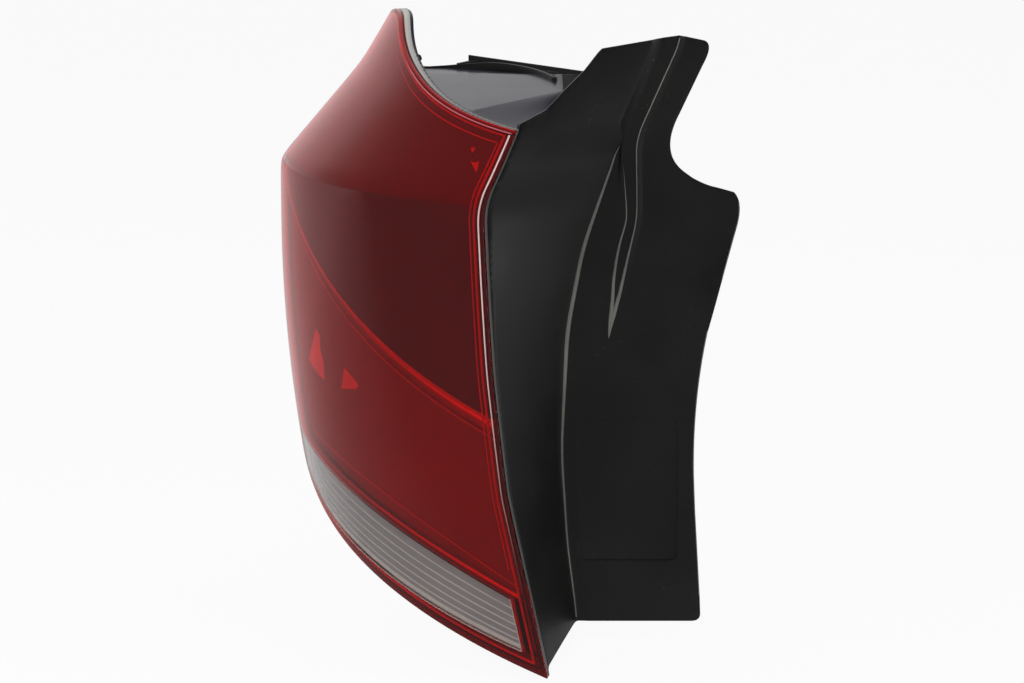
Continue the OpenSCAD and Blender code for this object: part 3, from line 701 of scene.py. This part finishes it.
def shroudRow(z, inner):
    # one level section through side wall and wing: its outer face, or its inner one where inner is 1
    s = face(boxForm["stepIn"] / lensForm["run"], z, rimDepth + shroudForm["tuck"])
    start = Vector((s.x, s.y))
    above = z - shroudForm["ridgeZ"]
    raised = shroudForm["ridge"] * ease(above / shroudForm["ridgeRise"])
    grown = ease(above / shroudForm["ridgeGrow"])
    ridgeW = mix(*shroudForm["ridgeWidth"], grown)
    fold = Vector((foldX(z), shroudForm["wingY"] - raised))
    upper = ease((z - shroudForm["upperZ"]) / shroudForm["upperGrow"])
    corner = mix(Vector((creaseX(z), shroudForm["wingY"])), mix(start, fold, 0.8), upper)
    heading = (corner - start).normalized()
    wall = boxForm["wall"] * inner
    inward = Vector((-heading.y, heading.x)) * wall
    push = Vector((0, wall))
    levelY = mix(shroudForm["wingY"], corner.y, upper)
    reach = (levelY + push.y - start.y - inward.y) / heading.y
    knee = start + inward + heading * reach
    ridge = fold - Vector((ridgeW, 0))
    fall = math.tan(math.radians(shroudForm["fall"])) * grown
    first = start + inward
    last = knee - heading * shroudForm["kneeRound"]
    row = [mix(first, last, k / 16) for k in range(16)]
    row += bend(last, knee, mix(knee, ridge + push, 0.12), 6)
    leaf = mix(knee, ridge + push, 0.5) + Vector((0, raised * 0.6))
    row += bend(row[-1], leaf, ridge + push, 8)[1:]
    row += bend(ridge + push, mix(ridge, fold, 0.5) + push - Vector((0, 0.25)), fold + push, 4)[1:]
    lip = fold + push + Vector((shroudForm["lip"], raised + shroudForm["lip"] * fall))
    edge = Vector((shroudForm["front"], shroudForm["wingY"] + push.y + (shroudForm["front"] - fold.x) * fall))
    row += bend(row[-1], mix(row[-1], lip, 0.7), lip, 4)[1:]
    row += [mix(lip, edge, k / 12) for k in range(1, 13)]
    return [Vector((p.x, p.y, z)) for p in row]


def shroudOutline():
    # points of distance forward and height, each round from a start over a corner to an end
    rounds = [((86, 10.8), (91.8, 10.8), (91.5, 16), 6), ((91, 27), (89, 58), (87.4, 82), 8),
              ((86.4, 104), (85, 150), (93.4, 193), 20), ((110, 255), (114.6, 271.5), (108.5, 277.6), 10),
              ((98, 280.6), (91, 282), (83, 286.8), 6), ((80, 289), (62, 301), (75, 326), 20),
              ((88, 354), (95, 367), (89, 368.9), 8)]
    pts = [(-70, 3), (-7, 3.5), (15, 11), (23, 10.8)]
    pts += [tuple(p) for a, b, c, n in rounds for p in bend(a, b, c, n)]
    pts += [(73.9, 372.2), (28, 365.8), (25.8, 363.8), (17.8, 354), (6, 343), (-5, 332), (-14.5, 327.5)]
    pts += [(-25, 322.6), (-70, 322.6)]
    return pts


def prism(name, outline, y0, y1):
    front = [Vector((x, y0, z)) for x, z in outline]
    back = [Vector((x, y1, z)) for x, z in outline]
    points, faces = loftFaces([front, back])
    return makeObject(name, meshFrom(name, points, faces), polypropyleneBlack)


def roundedBox(cx, cz, w, h, r, n=8):
    pts = []
    for sx, sz, a0 in ((1, 1, 0), (-1, 1, 90), (-1, -1, 180), (1, -1, 270)):
        for k in range(n + 1):
            a = math.radians(a0 + 90 * k / n)
            pts.append((cx + sx * (w / 2 - r) + r * math.cos(a), cz + sz * (h / 2 - r) + r * math.sin(a)))
    return pts


def cut(obj, tool, operation):
    boolean = obj.modifiers.new("cut", "BOOLEAN")
    boolean.operation = operation
    boolean.solver = "EXACT"
    boolean.object = tool
    settle(obj)
    mesh = tool.data
    bpy.data.objects.remove(tool)
    bpy.data.meshes.remove(mesh)


def buildShroud():
    step = shroudForm["rowStep"]
    heights = [shroudForm["lowest"] + step * i for i in range(int(shroudForm["tall"] / step) + 1)]
    rings = [shroudRow(z, 0) + list(reversed(shroudRow(z, 1))) for z in heights]
    points, faces = loftFaces(rings, "strip")
    obj = makeObject("shroudWing", meshFrom("shroudWing", points, faces), polypropyleneBlack)
    cut(obj, prism("outlineTool", shroudOutline(), *shroudForm["through"]), "INTERSECT")
    w, h, d, r = shroudForm["label"]
    aside, middle = shroudForm["labelAt"]
    field = roundedBox(creaseX(middle) + aside + w / 2, middle, w, h, r)
    cut(obj, prism("fieldTool", field, shroudForm["wingY"] - 5, shroudForm["wingY"] + d), "DIFFERENCE")
    smoothShade(obj.data, 30)
    return edgeBevel(obj, 0.5, 55, shade=32)


place(buildShroud(), "housing")

print("ledge, gussets, bosses")

ledgeForm = {
    "corners": ((-84, 152), (-22, 173), (2, 118)), "outerStart": (-52, 168), "outerEnd": (24, 152),
    "outerZ": 350.8, "outerFall": 0.12, "outerLow": (332, 328), "thick": 2.2, "ribs": 7, "rib": (2, 12),
}


def wallAlong(name, path, lows, highs, thick, material):
    # an upright wall over a plan path, with its own lower and upper height at each point
    rings = []
    for i, p in enumerate(path):
        q0, q1 = path[max(i - 1, 0)], path[min(i + 1, len(path) - 1)]
        side = Vector((-(q1[1] - q0[1]), q1[0] - q0[0])).normalized() * thick / 2
        a, b = Vector(p) + side, Vector(p) - side
        rings.append([Vector((a.x, a.y, lows[i])), Vector((a.x, a.y, highs[i])),
                      Vector((b.x, b.y, highs[i])), Vector((b.x, b.y, lows[i]))])
    points, faces = loftFaces(rings)
    return edgeBevel(makeObject(name, meshFrom(name, points, faces), material), 0.35, 50)


def outerZ(x):
    return ledgeForm["outerZ"] - ledgeForm["outerFall"] * (x - ledgeForm["outerStart"][0])


def outerAt(share):
    return mix(Vector(ledgeForm["outerStart"]), Vector(ledgeForm["outerEnd"]), share)


innerPath = bend(*ledgeForm["corners"], 24)
outerPath = [outerAt(i / 12) for i in range(13)]
place(wallAlong("ledgeInner", innerPath, [roof(p.y) - 8 for p in innerPath],
                [roof(p.y) + mix(0.2, 2.4, ease((p.x + 70) / 40)) for p in innerPath],
                ledgeForm["thick"], polypropyleneBlack), "housing")
place(wallAlong("ledgeOuter", outerPath, [mix(*ledgeForm["outerLow"], i / 12) for i in range(13)],
                [outerZ(p.x) for p in outerPath], ledgeForm["thick"], polypropyleneBlack), "housing")


def sourceMesh(name, points, faces):
    mesh = bpy.data.meshes.new(name)
    mesh.from_pydata([Vector(p) / 1000 for p in points], [], faces)
    return makeObject(name, mesh, polypropyleneBlack)


halves = (-0.5, 0.5)
ribSource = sourceMesh("ribSource", [(x, y, z) for x in halves for y in halves for z in halves],
                       [(0, 1, 3, 2), (4, 6, 7, 5), (0, 4, 5, 1), (2, 3, 7, 6), (0, 2, 6, 4), (1, 5, 7, 3)])
spots = []
for i, a in enumerate(bend(*ledgeForm["corners"], 9)[2:2 + ledgeForm["ribs"]]):
    b = outerAt((i + 0.5) / ledgeForm["ribs"])
    topA, topB = roof(a.y) + 1.4, outerZ(b.x) - 2
    flat = b - a
    middle = mix(a, b, 0.5)
    at = (middle.x, middle.y, mix(topA, topB, 0.5) - ledgeForm["rib"][1] / 2)
    turn = (0, -math.atan2(topB - topA, flat.length), math.atan2(flat.y, flat.x))
    spots.append((at, turn, (flat.length, *ledgeForm["rib"])))
place(copies("ledgeRibs", ribSource, spots, polypropyleneBlack), "housing")

gussetForm = {"heights": (58, 106, 154, 202, 250, 294), "thick": 2, "reach": 31.5, "rise": 11.5}
wedge = [(0, 0, 0), (1, 0, 0), (0, 1, 0), (0, 0, 1), (1, 0, 1), (0, 1, 1)]
gussetSource = sourceMesh("gussetSource", wedge,
                          [(0, 2, 1), (3, 4, 5), (0, 1, 4, 3), (1, 2, 5, 4), (2, 0, 3, 5)])
root = (boxForm["plateX"] - 1.5, shroudForm["wingY"] + boxForm["wall"] - 0.6)
spots = [((*root, z), (0, 0, 0), (creaseX(z) + gussetForm["reach"], gussetForm["rise"], gussetForm["thick"]))
         for z in gussetForm["heights"]]
place(copies("gussets", gussetSource, spots, polypropyleneBlack), "housing")

bossForm = {"studY": 114, "studZ": {"Upper": 308, "Lower": 62}, "length": 10.3, "radius": 8, "bore": 4.3,
            "chamfer": 0.6, "pinAside": 13, "pinRadius": 3, "pinLength": 15}


def turnedPiece(name, profile, at, material, sides=48):
    # a profile of distance forward and radius, turned about a line that runs forward
    turns = [2 * math.pi * k / sides for k in range(sides)]
    rings = [[Vector((at[0] + x, at[1] + r * math.cos(a), at[2] + r * math.sin(a))) for a in turns]
             for x, r in profile]
    points, faces = loftFaces(rings)
    return makeObject(name, meshFrom(name, points, faces, angle=40), material)


long, radius, bore, chamfer = (bossForm[key] for key in ("length", "radius", "bore", "chamfer"))
bossProfile = [(0, bore), (0, radius - chamfer), (chamfer, radius), (long, radius), (long, bore), (1, bore)]
for label, z in bossForm["studZ"].items():
    start = boxForm["plateX"] - boxForm["wall"] - 9
    boss = turnedPiece(f"studBoss{label}", bossProfile, (start, bossForm["studY"], z), polypropyleneBlack)
    place(boss, "housing")
long, radius = bossForm["pinLength"], bossForm["pinRadius"]
pinProfile = [(0, radius), (long - 1.4, radius), (long - 0.4, radius - 0.6), (long, radius - 1.4)]
pinAt = (boxForm["plateX"] - 1, bossForm["studY"] + bossForm["pinAside"], bossForm["studZ"]["Lower"])
place(turnedPiece("locatingPin", pinProfile, pinAt, polypropyleneBlack), "housing")

print("fillets of the shroud")

# The rounded creases catch the light: each is a thin bead along its corner, coloured pale as a painted
# highlight. A shift moves it forward, from pairs of a height and a distance.
filletForm = {
    "crease": 1.15, "ridge": 0.75, "rim": 0.35, "step": 3,
    "innerShift": [(225, 0), (262, 3.2), (290, 1.5), (306, 0)], "outerShift": [(188, -1.7), (218, 0)],
}


def rowPath(mark, low, high, lift, shift=((0, 0),)):
    path = []
    for z in range(low, high, filletForm["step"]):
        p = shroudRow(z, 0)[rowMarks[mark]]
        path.append((p.x + lookup(z, shift), p.y + lift, p.z))
    return path


def rowAt(z, x):
    # the point of the shroud's face at a distance forward
    row = shroudRow(z, 0)
    for p, q in zip(row, row[1:]):
        if p.x <= x <= q.x:
            return mix(p, q, (x - p.x) / (q.x - p.x))
    return row[-1]


# the trimmed front edge of the wing gets a pale bead too, a painted highlight
frontEdge = [(x, z) for x, z in shroudOutline() if 20 < z < 272 and x > 80]
rimPath = [rowAt(z, x - filletForm["rim"]) + Vector((0, 0.2, 0)) for x, z in frontEdge]
outerRidge = rowPath("fold", 188, 372, 0.25, filletForm["outerShift"])
innerRidge = rowPath("ridge", 188, 308, 0.25, filletForm["innerShift"])
placeBeads({
    "creaseFillet": ([rowPath("crease", 14, 310, 0.35)], filletForm["crease"], polypropyleneEdgeSheen, "housing",
                     [(0, 0.6), (0.35, 0.8), (0.6, 1.4), (0.8, 1.3), (0.97, 0.6), (1, 0.2)]),
    "outerRidgeFillet": ([outerRidge], filletForm["ridge"], polypropyleneEdgeSheen, "housing",
                         [(0, 0.2), (0.08, 1.8), (0.18, 1.4), (0.32, 0.8), (0.44, 0.5), (1, 0.6)]),
    "innerRidgeFillet": ([innerRidge], filletForm["ridge"], polypropyleneEdgeSheen, "housing",
                         [(0, 0.2), (0.12, 1.8), (0.28, 1.4), (0.55, 0.9), (0.75, 0.6), (1, 0.3)]),
    "wingRim": ([rimPath], filletForm["rim"], polypropyleneEdgeSheen, "housing"),
})

print("inside")

panelForm = {"depth": 4, "thick": 1.8, "skin": 1.2, "inset": 3.8, "trimH": 9, "trimD": 5, "trimBow": 1.6}
screenForm = {"depth": 7.0, "thick": 1.4, "stripDepth": 4.7, "above": 3.6}


def arcEdge(side, gap=0.0):
    # the upper (1) or lower (-1) edge of the curved trim, or a line at a gap beyond it
    return lambda u: curveAt(arcForm, u) + side * (panelForm["trimH"] / 2 + gap)


def overStrip(gap):
    return lambda u: stripTop(u) + gap


def slabOn(name, ends, lowAt, highAt, depth, thick, material, rows=40, crown=0.0, cols=90):
    # a slab that follows the lens at a depth, between two lines
    rings = []
    for i in range(cols + 1):
        u = mix(*ends, i / cols)
        low, high = lowAt(u), highAt(u)
        outer = [face(u, mix(low, high, j / rows), depth - crown * (1 - (2 * j / rows - 1) ** 2))
                 for j in range(rows + 1)]
        inner = [face(u, mix(low, high, j / rows), depth + thick) for j in range(rows, -1, -1)]
        rings.append(outer + inner)
    points, faces = loftFaces(rings, "strip")
    return makeObject(name, meshFrom(name, points, faces), material)


edgeShare = panelForm["inset"] / lensForm["run"]
wide = (edgeShare, 1 - edgeShare)
place(slabOn("darkPanel", wide, arcEdge(1, 0.3), lambda u: highEdge(u) - panelForm["inset"],
             panelForm["depth"], panelForm["thick"], absSatinPanel), "dark_bezel")
place(slabOn("arcBand", wide, arcEdge(-1), arcEdge(1), panelForm["depth"] + panelForm["trimBow"],
             panelForm["trimD"] - panelForm["trimBow"], aluminisedTrim, 8, panelForm["trimBow"]), "arc_trim")
place(slabOn("chamberScreen", (edgeShare * 1.5, 1 - edgeShare), overStrip(screenForm["above"]),
             arcEdge(-1, 1), screenForm["depth"], screenForm["thick"], absSatinScreen), "stop_reflector")
place(slabOn("lowerBorder", wide, lambda u: lowEdge(u) + panelForm["inset"],
             lambda u: max(stripBottom(u) - 0.6, lowEdge(u) + panelForm["inset"] + 0.4),
             panelForm["depth"], panelForm["skin"], absSatinPanel, 6), "strip_reflector")
place(slabOn("stripLedge", wide, overStrip(0.6), overStrip(3.4), panelForm["depth"], panelForm["skin"],
             absSatinPanel, 4), "strip_reflector")
place(slabOn("stripPanel", (stripForm["start"] - 0.004, stripForm["end"] + 0.004),
             lambda u: stripBottom(u) - 0.4, overStrip(0.4), screenForm["stripDepth"], 1.0, absGreyPanel, 14),
      "strip_reflector")


def lineOn(u0, u1, heightAt, depth, count=80):
    return [face(u, heightAt(u), depth) for u in (mix(u0, u1, i / count) for i in range(count + 1))]


def stripLine(share, depth):
    return lineOn(stripForm["start"] + 0.004, stripForm["end"] - 0.004,
                  lambda u: mix(stripBottom(u), stripTop(u), share), depth)


def flangeLoop():
    # the inset differs from side to side: the seam shows the widest border
    loop = []
    for share, t in shares + shares[:1]:
        u = mix(flangeForm["seam"] / lensForm["run"], 1 - flangeForm["outer"] / lensForm["run"], share)
        z = mix(lowEdge(u) + flangeForm["low"], highEdge(u) - flangeForm["high"], t)
        loop.append(face(u, z, flangeForm["depth"]))
    return loop


def seamPath(inset, depth, steps=120):
    # runs up the lens beside the seam, at a distance from its edge
    u = inset / lensForm["run"]
    return [face(u, mix(lowEdge(u) + inset, highEdge(u) - inset, i / steps), depth) for i in range(steps + 1)]


def upperPath(inset, depth):
    share = inset / lensForm["run"]
    return lineOn(share, 1 - share, lambda u: highEdge(u) - inset, depth, 100)


ribForm = {"shares": (0.18, 0.314, 0.46, 0.6, 0.765), "depth": 4.6}
borderForm = {"shares": (0.075, 0.045), "depth": 4.4, "endAt": 0.06}
flangeForm = {"depth": 3.8, "seam": 7.6, "low": 5.2, "high": 5.0, "outer": 4.7, "radius": 0.8}
chamberForm = {"start": 48.5, "rise": 145, "bow": -74}
secondForm = {"aside": 10.6, "below": 9.6, "foot": 60, "end": 0.75}

ribLines = [stripLine(share, ribForm["depth"]) for share in ribForm["shares"]]
borderLines = [stripLine(share, borderForm["depth"]) for share in borderForm["shares"]]
endLow, endHigh = stripBottom(borderForm["endAt"]), stripTop(borderForm["endAt"])
borderLines += [[face(stripForm["start"] + 0.006, mix(endLow, endHigh, i / 10), borderForm["depth"])
                 for i in range(11)]]
arcUpper = lineOn(0.02, 0.98, arcEdge(1, -0.4), panelForm["depth"] - 0.1)
arcLower = lineOn(0.02, 0.98, arcEdge(-1, 3.2), screenForm["depth"] - 0.6)
chamberLine = lineOn(0.03, 0.86, lambda u: curveAt(chamberForm, u), screenForm["depth"] - 0.2)

# a second line runs inside the flange, up beside the seam and along the top
corner = secondForm["aside"] / lensForm["run"]
foot, head = lowEdge(corner) + secondForm["foot"], highEdge(corner) - secondForm["below"]
depth = panelForm["depth"] - 0.2
secondLine = [face(corner, mix(foot, head, i / 90), depth) for i in range(90)]
secondLine += lineOn(corner, secondForm["end"], lambda u: highEdge(u) - secondForm["below"], depth, 60)

# The pale ribs and the beads along the lens's seam and top are painted highlights; the bright red lines are a
# painted glow
placeBeads({
    "stripRibs": (ribLines, 0.45, absRibHighlight, "strip_reflector"),
    "stripBorder": (borderLines, 0.75, absCream, "strip_reflector"),
    "lensFlange": ([flangeLoop()], flangeForm["radius"], pmmaRedGlow, "lens_red"),
    "chamberLine": ([chamberLine], 0.3, pmmaRedGlow, "stop_reflector"),
    "chamberRidge": ([lineOn(0.035, 0.9, overStrip(3.2), 4.6)], 1.5, aluminisedTrim, "stop_reflector"),
    "arcArris": ([arcUpper], 0.85, pmmaRedGlow, "arc_trim"),
    "arcUnderline": ([arcLower], 0.45, pmmaRedGlow, "stop_reflector"),
    "secondLine": ([secondLine], 0.45, pmmaRedGlow, "dark_bezel", [(0, 1), (0.7, 1), (1, 0.1)]),
    "seamFold": ([seamPath(3.3, 0.4)], 0.68, pmmaSeamHighlight, "lens_red", [(0, 0.5), (0.4, 0.8), (1, 1)]),
    "upperEdge": ([upperPath(1.1, 1.5)], 0.8, pmmaEdgeReflection, "lens_red"),
    "upperFold": ([upperPath(2.2, 0.3)], 0.5, pmmaTopHighlight, "lens_red",
                  [(0, 1), (0.5, 1), (0.68, 0.1), (1, 0.05)]),
})


def patchOn(name, outline, depth, thick, material):
    # a small flat facet, from its outline in angle and height
    rings = [[onLens(turn, z, depth + d) for turn, z in outline] for d in (0, thick)]
    points, faces = loftFaces(rings)
    return makeObject(name, meshFrom(name, points, faces), material)


# two mirror-bright facets of the chamber, painted light where light shines through its openings, and two
# small marks in the painted red glow near the upper corner of the dark panel
facet = (screenForm["depth"] - 0.6, 0.5, aluminisedFacet)
mark = (panelForm["depth"] - 0.2, 0.4, pmmaRedGlow)
patches = {
    "flameFacet": ("stop_reflector", facet, [(63.7, 188.5), (62.0, 185.7), (62.3, 175.5), (61.2, 168),
                                             (61.5, 157.2), (64.6, 159.5), (69.1, 165.4), (66.5, 175.3)]),
    "triangleFacet": ("stop_reflector", facet, [(53.7, 170.2), (50.2, 163.5), (49.7, 161.4), (50.3, 159.1),
                                                (55.3, 156.1), (54.8, 159.5)]),
    "markUpper": ("dark_bezel", mark, [(26.3, 310.9), (25.5, 311.3), (25.6, 308.2), (26.1, 309.2)]),
    "markLower": ("dark_bezel", mark, [(25.5, 303.5), (24.7, 302.8), (23.9, 303.8), (23.7, 299.7),
                                       (23.7, 297.5), (24.6, 300.6)]),
}
for name, (node, kind, outline) in patches.items():
    place(patchOn(name, outline, *kind), node)

bowlForm = {
    "studY": 114, "holeX": -18.6, "side": 30, "steps": 16, "holeR": 16, "collar": 4, "wall": 1.8,
    "rim": rimDepth + 1, "aside": (5.4, 3.8), "stopZ": 172, "stripZ": 94,
}


def bowlRim(ends, lowAt, highAt, inset):
    ring = []
    for e in loopShares(*[bowlForm["side"]] * 3):
        u = mix(ends[0] + inset / lensForm["run"], ends[1] - inset / lensForm["run"], e[0])
        ring.append(face(u, mix(lowAt(u) + inset, highAt(u) - inset, e[1]), bowlForm["rim"]))
    return ring


def bowlHole(x, z, r):
    n = 4 * bowlForm["side"]
    turns = [math.radians(-135 + 360 * i / n) for i in range(n)]
    return [Vector((x, bowlForm["studY"] + r * math.cos(a), z + r * math.sin(a))) for a in turns]


def bowlBetween(rim, hole, t):
    ring = []
    for p, q in zip(rim, hole):
        c = Vector((mix(p.x, q.x, 0.75), mix(p.y, q.y, 0.45), mix(p.z, q.z, 0.4)))
        ring.append(mix(mix(p, c, t), mix(c, q, t), t))
    return ring


def buildBowl(name, ends, lowAt, highAt, z):
    r, wall, steps = bowlForm["holeR"], bowlForm["wall"], bowlForm["steps"]
    outerRim, innerRim = bowlRim(ends, lowAt, highAt, 0), bowlRim(ends, lowAt, highAt, wall)
    outerHole, innerHole = bowlHole(bowlForm["holeX"], z, r + wall), bowlHole(bowlForm["holeX"], z, r)
    rings = [bowlBetween(outerRim, outerHole, k / steps) for k in range(steps + 1)]
    rings += [bowlHole(bowlForm["holeX"] + bowlForm["collar"], z, radius) for radius in (r + wall, r)]
    rings += [bowlBetween(innerRim, innerHole, k / steps) for k in range(steps, -1, -1)]
    points, faces = loftFaces(rings, "loop")
    return makeObject(name, meshFrom(name, points, faces, angle=40), aluminised)


chamber = (bowlForm["aside"][0] / lensForm["run"], 1 - bowlForm["aside"][1] / lensForm["run"])
place(buildBowl("stopBowl", chamber, overStrip(screenForm["above"]), arcEdge(-1, 2.4),
                bowlForm["stopZ"]), "stop_reflector")
place(buildBowl("stripBowl", chamber, lambda u: lowEdge(u) + panelForm["inset"], overStrip(2.4),
                bowlForm["stripZ"]), "strip_reflector")

print("carried-over nodes")

finishes = {
    "bulb_holder": nylonNatural, "holder_gasket": rubberEpdm, "holder_screws": zincSteel,
    "contact_tracks": brassStamped, "connector_pins": brassStamped, "stop_bulb_glass": bulbGlassClear,
    "stop_bulb_cap": brassStamped, "turn_bulb_glass": bulbGlassAmber, "turn_bulb_cap": brassStamped,
    "body_gasket": foamPolyethylene, "upper_stud": zincSteel, "lower_stud": zincSteel,
    "tip_buffer": rubberEpdm, "vent_cap": polypropyleneBlack, "vent_membrane": membranePtfe,
}
for name, material in finishes.items():
    data = nodes[name].data
    data.materials.clear()
    data.materials.append(material)

print("room, light and camera")

scene = bpy.context.scene
scene.view_settings.view_transform = "Standard"

world = bpy.data.worlds.new("studio")
scene.world = world
world.use_nodes = True
sky = world.node_tree
sky.nodes.clear()
seenBy = addNode(sky, "ShaderNodeLightPath").outputs
# the studio: a white wall on the left and behind, a dim right side, almost nothing where the camera stands
fromLeft = remap(sky, along(sky, "Generated", "X"), (0.4, -0.1), (0.06, 1.0))
fromFront = remap(sky, along(sky, "Generated", "Y"), (-1.0, 1.0))
tones = [(0.0, 0.2), (0.45, 0.26), (0.6, 0.36), (0.7, 0.52), (0.8, 0.82), (0.93, 0.9), (1.0, 0.9)]
wall = toneRamp(sky, fromFront, [(at, (tone, tone, tone, 1)) for at, tone in tones])
room = addNode(sky, "ShaderNodeBackground", {"Color": combine(sky, "MULTIPLY", fromLeft, wall)})
white = addNode(sky, "ShaderNodeBackground", {"Color": (1, 1, 1, 1)})
# what is seen through the lens and the glass is lit by the plain white room
through = combine(sky, "MULTIPLY", seenBy["Is Transmission Ray"], 0.9)
plain = combine(sky, "MAXIMUM", seenBy["Is Camera Ray"], through)
addNode(sky, "ShaderNodeOutputWorld", {
    "Surface": mixShader(sky, plain, room.outputs["Background"], white.outputs["Background"])})

floorForm = {"height": -0.309, "half": 10.0}
corners = [(x * floorForm["half"], y * floorForm["half"], floorForm["height"])
           for x, y in ((-1, -1), (1, -1), (1, 1), (-1, 1))]
floorMesh = bpy.data.meshes.new("floor")
floorMesh.from_pydata(corners, [], [(0, 1, 2, 3)])
paper, tree, shader = startMaterial("paperFloor", {"Base Color": colour("#F4F4F4"), "Roughness": 0.9})
seenBy = addNode(tree, "ShaderNodeLightPath").outputs
glow = addNode(tree, "ShaderNodeEmission", {"Color": (1, 1, 1, 1)})
share = combine(tree, "MULTIPLY", seenBy["Is Camera Ray"], 0.93)
blended = mixShader(tree, share, shader.outputs["BSDF"], glow.outputs["Emission"])
# where the lens mirrors it the paper glows, dim in front and bright towards the back wall: a painted
# reflection of the room's light
paintedReflection = addNode(tree, "ShaderNodeEmission", {
    "Color": remap(tree, along(tree, "Object", "Y"), (-0.25, 0.55), (0.27, 0.64))})
surface = mixShader(tree, seenBy["Is Glossy Ray"], blended, paintedReflection.outputs["Emission"])
tree.links.new(surface, next(n for n in tree.nodes if n.type == "OUTPUT_MATERIAL").inputs["Surface"])
makeObject("floor", floorMesh, paper)


def aimed(name, data, at, target):
    obj = bpy.data.objects.new(name, data)
    obj.location = at
    obj.rotation_euler = (Vector(target) - Vector(at)).to_track_quat("-Z", "Y").to_euler()
    scene.collection.objects.link(obj)
    return obj


# name: place, width, height, power; the narrow light on the right draws the line along the lens edge
lamps = {
    "topBox": ((0.1, -0.3, 1.5), 1.2, 1.0, 9), "frontBox": ((-0.5, -1.9, 0.6), 1.2, 1.2, 12),
    "leftBox": ((-1.5, -0.6, 0.4), 0.9, 1.3, 9), "edgeLight": ((1.5, -0.28, 0.25), 0.12, 1.3, 4),
}
for name, (at, width, height, power) in lamps.items():
    lamp = bpy.data.lights.new(name, "AREA")
    lamp.shape = "RECTANGLE"
    lamp.size, lamp.size_y, lamp.energy = width, height, power
    obj = aimed(name, lamp, at, (0, 0, -0.1))
    obj.visible_glossy = name == "edgeLight"
    obj.visible_transmission = False

camera = bpy.data.cameras.new("camera")
camera.lens = 93.75
camera.sensor_width = 36
scene.camera = aimed("camera", camera, (-0.0308, -1.619, 0.2147), (-0.0308, -0.054, -0.118))

print("done")
